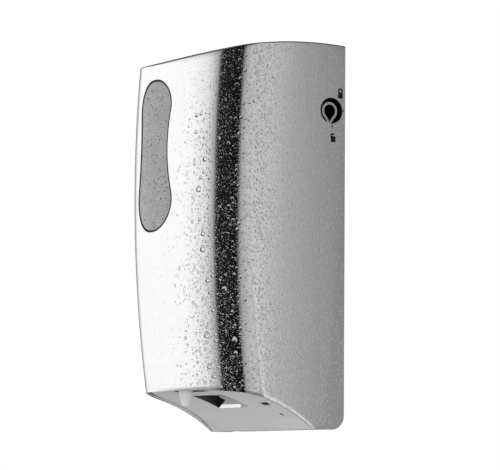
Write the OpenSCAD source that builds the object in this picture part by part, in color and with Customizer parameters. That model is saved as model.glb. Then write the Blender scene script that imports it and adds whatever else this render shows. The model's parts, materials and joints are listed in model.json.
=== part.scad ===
// Wall-mounted automatic soap dispenser with a swing-down cover.
// Millimetres. Z is up, the wall is the plane Y = 0 and the front faces -Y.
// The origin lies on the wall, at the middle of the four wall-screw holes.
// Heights below are measured from the lower edge, depths from the wall.

/* [Cover] */
// width across the side walls
cover_w = 136; // [132:1:144]
// greatest depth from the wall
cover_d = 114; // [112:1:118]
// height of the crest
cover_h = 261.5; // [260:0.5:272]
// plan radius of the front
front_r = 90; // [86:1:100]
// radius where the front meets the sides
corner_r = 20; // [16:1:22]
// radius of the vertical bow of the front
bow_r = 960; // [900:10:1200]
// height of the fullest point of the bow
bow_z = 168; // [160:1:180]
// side-view radius of the top
top_r = 300; // [280:5:400]
// distance of the crest from the wall
crest_t = 21; // [18:1:26]
// thickness of the cover
wall = 2.5; // [2:0.1:2.8]
// gap between the cover's back edge and the wall
back_gap = 1; // [0.6:0.1:1.5]

/* [Underside] */
// radius of the scooped underside, seen from the side
arch_r = 113; // [108:1:120]
// distance of the top of the scoop from the wall
arch_t = 96.5; // [94:0.5:99]
// height of the scoop above the lower edge
arch_h = 25.3; // [24:0.1:27]
// how far the tray lies inside the cover's lower edge
tray_inset = 1.5; // [1:0.1:2]
// thickness of the tray
tray_th = 2.5; // [2:0.1:2.8]
// gap between tray and cover
tray_gap = 0.8; // [0.6:0.1:1.2]
// thickness of the tray's skirt
skirt_th = 1.8; // [1.5:0.1:2.4]
// height of the skirt above the top of the scoop
skirt_h = 13; // [11:0.5:14]

/* [Cover hinge] */
// distance of the hinge axis from the wall
hinge_t = 10.5; // [10:0.5:12]
// height of the hinge axis
hinge_z = 9.5; // [9:0.5:11]
// radius of a hinge pin
pin_r = 2; // [1.6:0.1:2.4]
// running clearance of pins, shafts and axles
run = 0.05; // [0.03:0.01:0.08]
// radius of the plate's hinge ears
ear_r = 6; // [5:0.5:6.5]
// thickness of a hinge ear
ear_th = 8; // [6:0.5:9]
// radius of the cover's hinge bosses
boss_r = 5; // [4.5:0.1:5.5]

/* [Window] */
// corner radius of the lower lobe
low_r = 22; // [20:0.5:24]
// half the flat width under the lower lobe
low_x = 1; // [0.5:0.5:3]
// height of the corner centres of the lower lobe
low_z = 154.5; // [152:0.5:160]
// corner radius of the upper lobe
high_r = 15.8; // [14:0.2:17]
// half the flat width over the upper lobe
high_x = 5; // [4:0.2:6]
// height of the corner centres of the upper lobe
high_z = 221; // [218:0.5:223]
// radius of the waist between the lobes
waist_r = 150; // [120:1:200]
// depth of the lens behind the cover's face
lens_recess = 0.8; // [0.5:0.1:1.2]
// gap round the lens
lens_gap = 0.15; // [0.1:0.05:0.3]
// width of the lens flange behind the cover
lens_flange = 5; // [4:0.5:6]
// thickness of the lens flange
flange_th = 1.5; // [1.2:0.1:1.8]

/* [Lock] */
// distance of the lock axis from the wall
lock_t = 12.2; // [11.4:0.1:13]
// distance of the lock axis below the crest
lock_drop = 45.8; // [44:0.1:52]
// radius of the round recess
recess_r = 8.8; // [8.5:0.1:9.2]
// depth of the barrel's head below the cover's side
recess_depth = 6.8; // [6:0.1:7.5]
// wall of the lock housing
house_wall = 1.4; // [1.2:0.1:1.5]
// length of the lock housing inside the cover
house_len = 15; // [14:0.5:16]
// radius of the barrel
barrel_r = 6; // [5.6:0.1:6.4]
// thickness of the barrel's head
head_th = 1.5; // [1.2:0.1:1.8]
// radius of the key socket
socket_r = 4.4; // [4:0.1:4.6]
// reach of the socket's tail from the axis
socket_tail = 7.4; // [7:0.1:7.5]
// depth of the key socket below the head
socket_depth = 7.5; // [6.5:0.1:7.8]
// height of the raised collar round the socket
collar_h = 4.2; // [3.6:0.1:4.6]
// wall of the collar
collar_wall = 1.7; // [1.4:0.1:1.9]
// reach of the cam from the axis
cam_len = 9.8; // [9.4:0.1:10]
// width of the cam
cam_w = 6; // [5:0.1:6.5]
// thickness of the cam
cam_th = 2.5; // [2:0.1:2.8]
// radius of the cam's hub
hub_r = 5; // [4.4:0.1:5.2]

/* [Wall plate] */
// thickness of the plate
plate_th = 4; // [3.5:0.1:4.5]
// gap between plate and cover at the sides
plate_gap = 3.5; // [3:0.1:4]
// height of the plate's lower edge
plate_low = 4; // [3.6:0.1:5]
// distance of the plate's upper edge below the crest
plate_drop = 11.5; // [10:0.5:14]
// height of the lower wall-screw holes
hole_low = 32; // [30:1:36]
// hole spacing across
hole_dx = 60; // [56:1:62]
// distance of the upper holes below the plate's upper edge
hole_drop = 22; // [20:1:26]
// radius of a wall-screw hole
hole_r = 2.6; // [2.2:0.1:3]

/* [Tank] */
// gap between tank and cover
tank_gap = 2.5; // [2:0.1:4]
// thickness of the tank's wall
tank_wall = 2; // [1.6:0.1:2.4]
// distance of the tank from the wall
tank_back = 9; // [8.5:0.1:10]
// gap between cover and tank at the sides of the shoulder
tank_side = 7.5; // [7:0.5:10]
// distance of the tank from the cover's side beside the lock
tank_clear = 25; // [24:0.5:28]
// height of the shoulder above the shelf
shoulder = 64; // [55:1:66]
// distance of the tank's top below the crest
tank_drop = 25.5; // [24:0.5:30]
// distance of the filler neck from the wall
neck_t = 45; // [42:0.5:46]
// radius of the filler neck
neck_r = 17; // [15:0.5:18]
// height of the filler neck
neck_h = 9.5; // [9:0.1:10]
// thickness of the cap's roof
cap_roof = 2; // [1.5:0.1:2.5]
// thickness of the cap's skirt
cap_wall = 2.7; // [2.6:0.1:3.2]
// thickness of the shelf under the tank
shelf_th = 3; // [2.5:0.1:4]
// reach of the shelf from the wall
shelf_d = 72; // [60:1:73]

/* [Pump] */
// distance of the nozzle behind the front
nozzle_back = 29; // [28.5:0.5:32]
// height of the pump above the top of the scoop
pump_lift = 34.7; // [34:0.1:36]
// module of the pump gears
pump_m = 1.5; // [1.3:0.1:1.6]
// teeth of each pump gear
pump_n = 12; // [12:1:13]
// depth of the pump chamber
chamber_d = 12; // [10:0.5:12]
// gap between the pump gears and their chamber
chamber_gap = 0.3; // [0.2:0.05:0.4]
// thickness of the pump's front plate
front_th = 2.5; // [2.2:0.1:2.8]
// thickness of the pump's back plate
pump_plate_th = 3.5; // [3:0.1:4]
// height of the tank above the pump axis
tank_lift = 43; // [42:0.5:45]

/* [Gear train] */
// module of the reduction gears
gear_m = 1; // [0.9:0.05:1]
// teeth of the motor pinion
pinion_n = 12; // [12:1:13]
// teeth of the first gear
first_n = 36; // [34:1:37]
// teeth of the second pinion
second_n = 12; // [12:1:13]
// teeth of the drive gear
drive_n = 40; // [36:1:41]
// pressure angle
press = 25; // [24:0.5:27]
// play left on each tooth flank
play = 0.1; // [0.08:0.01:0.14]
// width of the gear faces
face_w = 5; // [4:0.5:5.5]
// gap between neighbouring gear planes
plane_gap = 2; // [1.5:0.1:2.5]
// direction of the motor seen from the first gear
motor_dir = 100; // [96:1:106]
// radius of the motor's can
motor_r = 12; // [10:0.5:12]
// length of the motor's can
motor_len = 32; // [26:1:36]
// radius of the pump shaft and pin
shaft_r = 2.5; // [2:0.1:3]
// radius of the motor's shaft
motor_shaft_r = 1.2; // [1:0.1:1.4]
// thickness of the gear frame
frame_th = 3; // [2.5:0.1:3.5]

/* [Nozzle and sensor] */
// radius of the nozzle at its root
nozzle_r = 5; // [4.5:0.1:5.5]
// radius of the nozzle at its tip
tip_r = 2.6; // [2.3:0.1:3]
// drop of the tip below the scoop
tip_drop = 9; // [7:0.1:11]
// bore of the nozzle
nozzle_bore = 1.5; // [1:0.1:1.8]
// width of the slot round the nozzle
slot_w = 38; // [32:1:40]
// depth of the slot round the nozzle
slot_d = 13; // [12:0.5:14]
// outer radius of the outlet hose
hose_r = 5.5; // [5.2:0.1:5.7]
// inner radius of the outlet hose
hose_bore = 4; // [3.8:0.1:4.2]
// width of the sensor pocket
pocket_w = 40; // [34:1:42]
// distance of the pocket's back behind the front
pocket_back = 67; // [65:0.5:68]
// length of the pocket, front to back
pocket_d = 21.5; // [20:0.5:22]
// height of the sensor lens above the top of the scoop
pocket_h = 4.7; // [4:0.1:5.2]
// thickness of the sensor lens
eye_th = 2; // [1.6:0.1:2.4]
// wall of the sensor pocket
pocket_wall = 1.6; // [1.4:0.1:2]

/* [Switch and light] */
// distance of the switch from the cover's side
switch_side = 22; // [21:0.5:24]
// distance of the switch from the wall
switch_t = 50; // [48:0.5:54]
// travel of the switch
switch_go = 4; // [3:0.1:4.5]
// length of the switch knob
knob_l = 5.6; // [5:0.1:6]
// width of the switch knob
knob_w = 4; // [3.5:0.1:4.4]
// distance of the status light from the wall
light_t = 37; // [34:0.5:39]
// radius of the status light
light_r = 1.6; // [1.2:0.1:2]

/* [Batteries] */
// radius of a cell
cell_r = 7.2; // [6.8:0.1:7.25]
// length of a cell's body
cell_l = 49; // [46:0.5:49]
// wall of the battery box
box_wall = 1.5; // [1.3:0.1:1.8]
// thickness of the battery door
door_th = 1.5; // [1.3:0.1:1.8]
// radius of the door's hinge pin
door_pin = 0.8; // [0.7:0.1:1]
// radius of the door's knuckles
knuckle_r = 1.7; // [1.6:0.05:1.9]

/* [Fasteners] */
// radius of a small screw
screw_r = 1.5; // [1.3:0.1:1.6]
// radius of a small screw's head
screw_head = 2.8; // [2.5:0.1:3]
// height of a small screw's head
screw_cap = 1.7; // [1.4:0.1:1.8]

/* [Hidden] */
$fn = 96;
fine = 360;
// gap that keeps parts of one body from biting
fit = 0.02;
// overlap that lets a corner arc cross its neighbours
knit = 0.01;
// gap between pieces that move past each other
clear = 0.3;
xo = cover_w/2;
xi = xo - wall;
plate_half = xi - plate_gap;
boss_len = plate_gap - 2*run;
switch_x = xo - switch_side;
plate_top = cover_h - plate_drop;
hole_high = plate_top - hole_drop;
holes_z = (hole_low + hole_high)/2;
hole_dz = hole_high - hole_low;
arch_cz = arch_h - arch_r;
nozzle_t = cover_d - nozzle_back;
pocket_t = cover_d - pocket_back;
pump_z = arch_h + pump_lift;
tank_z = pump_z + tank_lift;
tank_top = cover_h - tank_drop;
tank_half = xo - tank_clear;
shelf_z = tank_z - shelf_th;
lock_z = cover_h - lock_drop;
house_r = recess_r + house_wall;
head_r = recess_r - 0.4;
face_x = xo - recess_depth;
floor_x = face_x - head_th - 0.2;
house_x = xi - house_len;
cam_x = house_x - 0.5;
keep_x = cam_x - 0.4;
keep_w = 3;
post_t = lock_t + house_r + 4.3;
cap_in = neck_r + 1.3;
cap_r = cap_in + cap_wall;
cap_low = tank_top + 2.6;
cap_top = tank_top + neck_h + 1.5 + cap_roof;
chamber_t = nozzle_t - chamber_d/2;
chamber_end = nozzle_t + chamber_d/2;
pump_x = pump_m*pump_n/2;
pump_tip = pump_m*(pump_n/2 + 1);
pump_half = pump_x + pump_tip + 2.5;
pump_tall = pump_tip + 2.5;
pump_plate_t = chamber_t - pump_plate_th;
drive_t = pump_plate_t - plane_gap - face_w;
first_t = drive_t - plane_gap - face_w;
frame_t = first_t - 2.5 - frame_th;
motor_t = frame_t;
drive_gap = gear_m*(drive_n + second_n)/2;
first_gap = gear_m*(first_n + pinion_n)/2;
comp_x = pump_x + drive_gap;
motor_x = comp_x + first_gap*cos(motor_dir);
motor_z = pump_z + first_gap*sin(motor_dir);
first_tip = gear_m*(first_n/2 + 1);
drive_tip = gear_m*(drive_n/2 + 1);
frame_low = arch_h + skirt_h + 0.7;
frame_top = shelf_z - 3;
frame_left = -pump_half - 4;
frame_right = comp_x + first_tip + 2;
spacer_r = 2.8;
spacer_x = [-pump_half, comp_x + first_tip*0.6];
spacer_z = [pump_z - first_tip - 2, pump_z + first_tip + 2];
spacer_at = [[spacer_x[0], pump_z - pump_tall - 3], [spacer_x[0], pump_z + pump_tall + 3],
    [spacer_x[1], spacer_z[0]], [spacer_x[1], spacer_z[1]]];
pillar_r = 3.5;
pillar_gap = 1.5;
pillar_z = [frame_low + 5, frame_top - 5];
eye_z = arch_h + pocket_h;
board_z = eye_z + eye_th + 4;
block_z = arch_h + 8;
spigot_r = hose_bore - 0.1;
inlet_r = 5;
spout_in = inlet_r + 1.4;
spout_r = spout_in + 2.1;
spout_z = tank_z - 16;
box_left = -xi + 3;
box_in = 4*cell_r + 1.2;
box_right = box_left + box_in + 2*box_wall;
pillar_x = [max(2 - pump_half, box_right + pillar_r + pillar_gap), frame_right - 4];
box_low = arch_h + skirt_h + 2.5;
box_front = plate_th + box_wall + box_in;
cell_low = box_low + box_wall + 3.6;
box_top = cell_low + cell_l + 3.2 + box_wall;
door_x = box_right - box_wall/2;
door_t = box_front + knuckle_r + clear;
door_z0 = box_low + 2;
door_z1 = box_top - 2;
pcb_x0 = -13;
pcb_w = 40;
pcb_z0 = box_low + 7;
pcb_h = 42;
pcb_t = plate_th + 5;
pcb_th = 1.6;
tray_screw_x = 24;
tray_screw_z = 15;
keeper_low = lock_z + cam_len + 1.4;
keeper_screw_z = [keeper_low + 5.5, keeper_low + 12];
pump_screw_x = [-pump_half + 3, pump_half - 3];
pump_screw_z = [pump_z - pump_tall + 2.6, pump_z + pump_tall - 2.6];

// draw one sub-part by name, or all of them

// Heights count from the lower edge, so the whole part drops to the wall-screw origin.
module place() translate([0, 0, -holes_z]) children();

// A flat outline in (depth axis Y, height Z), drawn out between two widths.
module across(x0, x1) translate([x0, 0, 0]) rotate([90, 0, 90]) linear_extrude(x1 - x0) children();

// A flat outline in (X, height Z), drawn forward between two depths.
module forward(t0, t1) translate([0, -t0, 0]) rotate([90, 0, 0]) linear_extrude(t1 - t0) children();

// A rod along X, and a rod along the depth.
module rod_x(x0, x1, t, z, r) translate([x0, -t, z]) rotate([0, 90, 0]) cylinder(r = r, h = x1 - x0);
module rod_t(x, z, t0, t1, r) translate([x, -t0, z]) rotate([90, 0, 0]) cylinder(r = r, h = t1 - t0);

// A block between widths, depths and heights.
module block(x0, x1, t0, t1, z0, z1) translate([x0, -t1, z0]) cube([x1 - x0, t1 - t0, z1 - z0]);

// Underside height at a depth, for a surface so far above the cover's lower edge.
function scoop_z(t, up) = arch_cz + sqrt(pow(arch_r + up, 2) - pow(t - arch_t, 2));

// Places children on the tray's lower face at a depth, with Z square to the scoop.
module on_scoop(t) {
    r = arch_r + tray_inset;
    a = asin((arch_t - t)/r);
    translate([0, -arch_t, arch_cz]) rotate([-a, 0, 0]) translate([0, 0, r]) children();
}

// Plan of the cover as (depth, width), drawn in by an inset.
module plan(inset) {
    cx = xo - corner_r;
    fc = cover_d - front_r;
    a = asin(cx/(front_r - corner_r));
    ct = fc + (front_r - corner_r)*cos(a);
    far = 2*front_r;
    translate([-60, inset - xo]) square([60 + ct, cover_w - 2*inset]);
    for (s = [-1, 1]) translate([ct, s*cx]) circle(corner_r - inset + knit, $fn = fine);
    intersection() {
        translate([fc, 0]) circle(front_r - inset, $fn = fine);
        polygon([[fc, 0], [fc + far*cos(a), far*sin(a)], [fc + far*cos(a), -far*sin(a)]]);
    }
}

// The plan swept round the bow of the front, taller than the cover.
module bowed(inset) {
    sweep = 30;
    translate([0, bow_r - cover_d, bow_z]) rotate([-90, 0, 0]) rotate([0, 90, 0])
        rotate([0, 0, -sweep/2]) rotate_extrude(angle = sweep, $fn = 4*fine)
            translate([bow_r - cover_d, 0]) plan(inset);
}

// Everything under the curved top, drawn in by an inset, from the wall forward.
module under_top(inset, t0, z0) across(-xo - 1, xo + 1) intersection() {
    translate([-crest_t, cover_h - top_r]) circle(top_r - inset, $fn = 2*fine);
    translate([-2*cover_d, z0]) square([2*cover_d - t0, 2*cover_h]);
}

// Side outline of the cover: curved top, scooped underside, round lower back corner.
module cover_side() {
    r = hinge_t - back_gap;
    difference() {
        intersection() {
            translate([-crest_t, cover_h - top_r]) circle(top_r, $fn = 2*fine);
            union() {
                translate([-2*cover_d, hinge_z]) square([2*cover_d - back_gap, 2*cover_h]);
                translate([-2*cover_d, 0]) square([2*cover_d - hinge_t, 2*cover_h]);
                translate([-hinge_t, hinge_z]) circle(min(r, hinge_z));
            }
        }
        translate([-arch_t, arch_cz]) circle(arch_r, $fn = fine);
    }
}

// Window outline in (X, height), grown by an amount: two flattened lobes joined by a waist.
module window(grow) {
    la = low_r + waist_r;
    ha = high_r + waist_r;
    lean = high_x - low_x;
    span = high_z - low_z;
    gap = sqrt(lean*lean + span*span);
    along = (la*la - ha*ha + gap*gap)/(2*gap);
    off = sqrt(la*la - along*along);
    wx = low_x + (along*lean + off*span)/gap;
    wz = low_z + (along*span - off*lean)/gap;
    for (s = [-1, 1]) {
        translate([s*low_x, low_z]) circle(low_r + grow, $fn = fine);
        translate([s*high_x, high_z]) circle(high_r + grow, $fn = fine);
    }
    translate([-low_x, low_z - low_r - grow + knit]) square([2*low_x, low_r + grow + 1]);
    translate([-high_x, high_z - 1]) square([2*high_x, high_r + grow + 1 - knit]);
    difference() {
        polygon([[-low_x, low_z], [low_x, low_z], [wx, wz], [high_x, high_z], [-high_x, high_z], [-wx, wz]]);
        for (s = [-1, 1]) translate([s*wx, wz]) circle(waist_r - grow, $fn = fine);
    }
}

// A spur gear outline with involute flanks and one tooth centred on the first axis.
function involute(a) = tan(a)*180/PI - a;
function flank(n, m, r, s) = let (
    rp = m*n/2, rb = rp*cos(press),
    a = acos(min(1, rb/r)),
    half = 90/n + involute(press) - play/rp*180/PI - involute(a)) r*[cos(half), s*sin(half)];
function spun(p, a) = [p[0]*cos(a) - p[1]*sin(a), p[0]*sin(a) + p[1]*cos(a)];
function tooth(n, m) = let (
    rp = m*n/2, root = rp - 1.25*m, base = max(root, rp*cos(press)), tip = rp + m, k = 5,
    foot = flank(n, m, base, 1)*root/base) concat(
        [[foot[0], -foot[1]]],
        [for (i = [0:k]) flank(n, m, base + (tip - base)*i/k, -1)],
        [for (i = [k:-1:0]) flank(n, m, base + (tip - base)*i/k, 1)],
        [foot]);
module gear(n, m) polygon([for (i = [0:n - 1]) for (p = tooth(n, m)) spun(p, 360*i/n)]);

// A gear at a place in (X, height), turned by an angle, between two depths.
module gear_at(x, z, n, m, turn, t0, t1)
    translate([x, 0, z]) forward(t0, t1) rotate(turn) gear(n, m);

// A small screw driven in from the front, with a slotted head.
module screw_t(x, z, t, len) {
    rod_t(x, z, t - len, t, screw_r);
    difference() {
        rod_t(x, z, t, t + screw_cap, screw_head);
        block(x - screw_head, x + screw_head, t + screw_cap - 0.7, t + screw_cap + 1, z - 0.4, z + 0.4);
    }
}

module wall_plate() color("gainsboro") place() {
    tab_x = plate_half - ear_th;
    difference() {
        union() {
            block(-plate_half, plate_half, 0, plate_th, plate_low, plate_top);
            for (s = [-1, 1]) {
                across(s > 0 ? tab_x : -plate_half, s > 0 ? plate_half : -tab_x) union() {
                    translate([-hinge_t, hinge_z]) circle(ear_r);
                    translate([-hinge_t, hinge_z - ear_r]) square([hinge_t - 0.5, 2*ear_r]);
                }
            }
            for (x = [pcb_x0 + 4, pcb_x0 + pcb_w - 4]) for (z = [pcb_z0 + 4, pcb_z0 + pcb_h - 4])
                rod_t(x, z, plate_th - 1, pcb_t, 3.2);
        }
        for (s = [-1, 1]) rod_x(s > 0 ? tab_x - 1 : -plate_half - 1, s > 0 ? plate_half + 1 : 1 - tab_x,
            hinge_t, hinge_z, pin_r + fit);
        for (x = [-hole_dx/2, hole_dx/2]) for (z = [holes_z - hole_dz/2, holes_z + hole_dz/2])
            rod_t(x, z, -1, plate_th + 1, hole_r);
        block(cam_x - cam_th - 4, plate_half + 1, -1, plate_th + 1, lock_z - house_r - 1.8, lock_z + house_r + 1.8);
        for (x = [pcb_x0 + 4, pcb_x0 + pcb_w - 4]) for (z = [pcb_z0 + 4, pcb_z0 + pcb_h - 4])
            rod_t(x, z, plate_th - 1, pcb_t + 1, screw_r + fit);
        for (x = pillar_x) for (z = pillar_z) {
            rod_t(x, z, -1, plate_th + 1, screw_r + fit);
            rod_t(x, z, -1, screw_cap + 0.4, screw_head + 0.3);
        }
        for (s = [-1, 1]) rod_t(s*tray_screw_x, tray_screw_z, -1, plate_th + 1, screw_r + fit);
        for (z = keeper_screw_z) rod_t(keep_x - keep_w - 5, z, -1, plate_th + 1, screw_r + fit);
    }
}

module latch_keeper() color("silver") place() {
    hook_t = lock_t + cam_w/2 + 0.6;
    difference() {
        union() {
            block(keep_x - keep_w - 10, keep_x, plate_th, plate_th + 1.5, keeper_low + 2, keeper_low + 16);
            block(keep_x - keep_w, keep_x, plate_th, hook_t + 3.5, keeper_low, keeper_low + 6);
            block(keep_x - keep_w, keep_x, hook_t, hook_t + 3.5, lock_z + hub_r + 1.2, keeper_low + 1);
        }
        for (z = keeper_screw_z) rod_t(keep_x - keep_w - 5, z, 0, plate_th + 3, screw_r + fit);
    }
}

module keeper_screws() color("silver") place()
    for (z = keeper_screw_z) screw_t(keep_x - keep_w - 5, z, plate_th + 1.5, plate_th + 0.5);

module hinge_pins() color("silver") place() for (s = [-1, 1])
    rod_x(s > 0 ? plate_half - ear_th : 0.3 - xi, s > 0 ? xi - 0.3 : ear_th - plate_half, hinge_t, hinge_z, pin_r);

module base_tray() color("lightgray") place() {
    lip = wall + tray_gap;
    low = arch_r + tray_inset;
    px = pocket_w/2;
    difference() {
        union() {
            intersection() {
                bowed(lip);
                across(-xo, xo) difference() {
                    translate([-2*cover_d, tray_inset]) square([2*cover_d - plate_th, arch_h + skirt_h - tray_inset]);
                    translate([-arch_t, arch_cz]) circle(low, $fn = fine);
                }
            }
        }
        intersection() {
            bowed(lip + skirt_th);
            across(-xo, xo) difference() {
                translate([-2*cover_d, tray_inset + tray_th])
                    square([2*cover_d - plate_th - skirt_th, arch_h + skirt_h]);
                translate([-arch_t, arch_cz]) circle(low + tray_th, $fn = fine);
            }
            difference() {
                block(-xo, xo, 0, cover_d, 0, cover_h);
                block(-px - 2*pocket_wall, px + 2*pocket_wall, pocket_t - 2*pocket_wall,
                    pocket_t + pocket_d + 2*pocket_wall, 0, board_z);
            }
        }
        block(-xo, xo, 0, plate_th + skirt_th + 0.1, tray_screw_z + 7, cover_h);
        for (s = [-1, 1]) {
            block(s > 0 ? plate_half - ear_th - 1 : -xo, s > 0 ? xo : ear_th + 1 - plate_half,
                0, hinge_t + ear_r + 2, -1, cover_h);
            rod_t(s*tray_screw_x, tray_screw_z, 0, plate_th + skirt_th + 1, screw_r + fit);
        }
        block(-px, px, pocket_t, pocket_t + pocket_d, -1, board_z + 1);
        block(-px - pocket_wall, px + pocket_wall, pocket_t - pocket_wall,
            pocket_t + pocket_d + pocket_wall, eye_z, board_z + 1);
        block(-px - 3*pocket_wall, px + 3*pocket_wall, pocket_t - 3*pocket_wall,
            pocket_t + pocket_d + 3*pocket_wall, board_z, cover_h);
        intersection() {
            block(-slot_w/2, slot_w/2, nozzle_t - slot_d/2, nozzle_t + slot_d/2, 0, board_z);
            bowed(lip + skirt_th + 0.6);
        }
        translate([switch_x, 0, 0]) on_scoop(switch_t)
            cube([knob_l + switch_go + 2*clear, knob_w + 2*clear, 4*tray_th], center = true);
        translate([switch_x, 0, 0]) on_scoop(light_t) cylinder(r = light_r + 0.1, h = 4*tray_th, center = true);
    }
}

module tray_screws() color("silver") place() for (s = [-1, 1])
    screw_t(s*tray_screw_x, tray_screw_z, plate_th + skirt_th, plate_th + skirt_th - 1);

module nozzle_block() color("dimgray") place() difference() {
    intersection() {
        block(-slot_w/2 - 3, slot_w/2 + 3, nozzle_t - slot_d/2 - 2, nozzle_t + slot_d/2 + 2, arch_h - 3, block_z);
        bowed(wall + tray_gap + skirt_th + 0.1);
    }
    translate([-xo, -arch_t, arch_cz]) rotate([0, 90, 0])
        cylinder(r = arch_r + tray_inset + tray_th, h = cover_w, $fn = fine);
    translate([0, -nozzle_t, 0]) cylinder(r = nozzle_r + fit, h = block_z + 1);
}

module nozzle() color("white") place() {
    root = scoop_z(nozzle_t, 0);
    translate([0, -nozzle_t, 0]) rotate_extrude() polygon([
        [nozzle_bore, root - tip_drop], [tip_r, root - tip_drop], [nozzle_r, root], [nozzle_r, block_z],
        [nozzle_r + 2.5, block_z], [nozzle_r + 2.5, block_z + 2], [spigot_r, block_z + 2],
        [spigot_r, block_z + 7], [spigot_r - 0.8, block_z + 8], [nozzle_bore, block_z + 8]]);
}

module outlet_hose() color("whitesmoke") place() translate([0, -nozzle_t, block_z + 2]) difference() {
    cylinder(r = hose_r, h = pump_z - pump_tall - block_z - 2);
    translate([0, 0, -1]) cylinder(r = hose_bore, h = pump_z);
}

module sensor_lens() color("black") place()
    block(-pocket_w/2 - pocket_wall + 0.1, pocket_w/2 + pocket_wall - 0.1,
        pocket_t - pocket_wall + 0.1, pocket_t + pocket_d + pocket_wall - 0.1, eye_z, eye_z + eye_th);

module sensor_board() color("darkgreen") place()
    block(-pocket_w/2 - 3*pocket_wall, pocket_w/2 + 3*pocket_wall, pocket_t - 3*pocket_wall,
        pocket_t + pocket_d + 3*pocket_wall, board_z, board_z + pcb_th);

module diode(x) translate([x, -pocket_t - pocket_d/2, eye_z + eye_th + 0.3]) rotate_extrude()
    union() {
        translate([0, 2.5]) square([2.5, board_z - eye_z - eye_th - 2.8]);
        intersection() {
            translate([0, 2.5]) circle(2.5);
            square([2.5, 2.6]);
        }
        translate([0, board_z - eye_z - eye_th - 1.3]) square([2.9, 1]);
    }

module ir_emitter() color("lightblue") place() diode(-pocket_w/4);

module ir_receiver() color("black") place() diode(pocket_w/4);

module status_light() color("red") place() translate([switch_x, 0, 0]) on_scoop(light_t) {
    translate([0, 0, 0.3]) cylinder(r = light_r, h = tray_th + 1);
    translate([0, 0, tray_th + 0.05]) cylinder(r = light_r + 1.4, h = 3);
}

module switch_body() color("black") place() {
    half = knob_l/2 + switch_go + 3;
    side = knob_w/2 + 3.5;
    difference() {
        translate([switch_x, 0, 0]) on_scoop(switch_t)
            translate([-half, -side, 0]) cube([2*half, 2*side, tray_th + 7]);
        translate([-xo, -arch_t, arch_cz]) rotate([0, 90, 0])
            cylinder(r = arch_r + tray_inset + tray_th, h = cover_w, $fn = fine);
        translate([switch_x, 0, 0]) on_scoop(switch_t)
            translate([1.4 - half, 1.4 - side, 0]) cube([2*half - 2.8, 2*side - 2.8, tray_th + 3]);
    }
}

module power_switch() color("dimgray") place() translate([switch_x - switch_go/2, 0, 0]) on_scoop(switch_t) {
    difference() {
        translate([-knob_l/2, -knob_w/2, 0.4]) cube([knob_l, knob_w, tray_th + 0.6]);
        for (x = [-1.6, 0, 1.6]) translate([x - 0.3, -knob_w, 0]) cube([0.6, 2*knob_w, 0.8]);
    }
    translate([-knob_l/2 - 0.8, -knob_w/2 - 1.5, tray_th + 0.4]) cube([knob_l + 1.6, knob_w + 3, 2]);
}

module gear_frame() color("whitesmoke") place() difference() {
    union() {
        block(frame_left, frame_right, frame_t, frame_t + frame_th, frame_low, frame_top);
        for (x = pillar_x) for (z = pillar_z) rod_t(x, z, plate_th, frame_t + 1, pillar_r);
        rod_t(pump_x, pump_z, frame_t - 3, frame_t + 1, shaft_r + 3);
        rod_t(comp_x, pump_z, frame_t - 3, frame_t + 1, 5);
    }
    rod_t(pump_x, pump_z, frame_t - 4, frame_t + frame_th + 1, shaft_r + run);
    rod_t(comp_x, pump_z, frame_t - 4, frame_t + frame_th + 1, shaft_r + fit);
    rod_t(motor_x, motor_z, frame_t - 1, frame_t + frame_th + 1, 4.2);
    for (s = [-1, 1]) rod_t(motor_x + s*8, motor_z, frame_t - 1, frame_t + frame_th + 1, screw_r + fit);
    for (x = pillar_x) for (z = pillar_z) rod_t(x, z, 0, plate_th + 10, screw_r + fit);
    for (p = spacer_at) rod_t(p[0], p[1], frame_t - 1, frame_t + frame_th + 1, screw_r + fit);
}

module frame_screws() color("silver") place() for (x = pillar_x) for (z = pillar_z) {
    rod_t(x, z, 0.4, screw_cap + 0.4, screw_head);
    rod_t(x, z, screw_cap + 0.4, plate_th + 9, screw_r);
}

module spacers() color("goldenrod") place() for (p = spacer_at) {
    rod_t(p[0], p[1], frame_t, frame_t + frame_th, screw_r);
    translate([p[0], 0, p[1]]) forward(frame_t + frame_th, pump_plate_t) circle(spacer_r, $fn = 6);
    rod_t(p[0], p[1], pump_plate_t, pump_plate_t + pump_plate_th, screw_r);
}

module motor() color("silver") place() difference() {
    union() {
        rod_t(motor_x, motor_z, motor_t - motor_len, motor_t, motor_r);
        rod_t(motor_x, motor_z, motor_t, motor_t + frame_th - 0.5, 4);
        rod_t(motor_x, motor_z, motor_t - motor_len - 2.5, motor_t - motor_len, 4);
    }
    rod_t(motor_x, motor_z, motor_t - 6, motor_t + frame_th + 1, motor_shaft_r + run);
    for (s = [-1, 1]) rod_t(motor_x + s*8, motor_z, motor_t - 5, motor_t + 1, screw_r + fit);
    for (s = [-1, 1]) block(motor_x - motor_r, motor_x + motor_r, motor_t - motor_len - 1, motor_t - 4,
        s > 0 ? motor_z + motor_r - 1.5 : motor_z - motor_r - 1, s > 0 ? motor_z + motor_r + 1 : motor_z - motor_r + 1.5);
}

module motor_screws() color("silver") place()
    for (s = [-1, 1]) screw_t(motor_x + s*8, motor_z, frame_t + frame_th, frame_th + 4);

module motor_pinion() color("goldenrod") place() {
    gear_at(motor_x, motor_z, pinion_n, gear_m, motor_dir + 180 + 180/pinion_n, first_t, first_t + face_w);
    rod_t(motor_x, motor_z, motor_t - 5.5, first_t + 0.5, motor_shaft_r);
}

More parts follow.
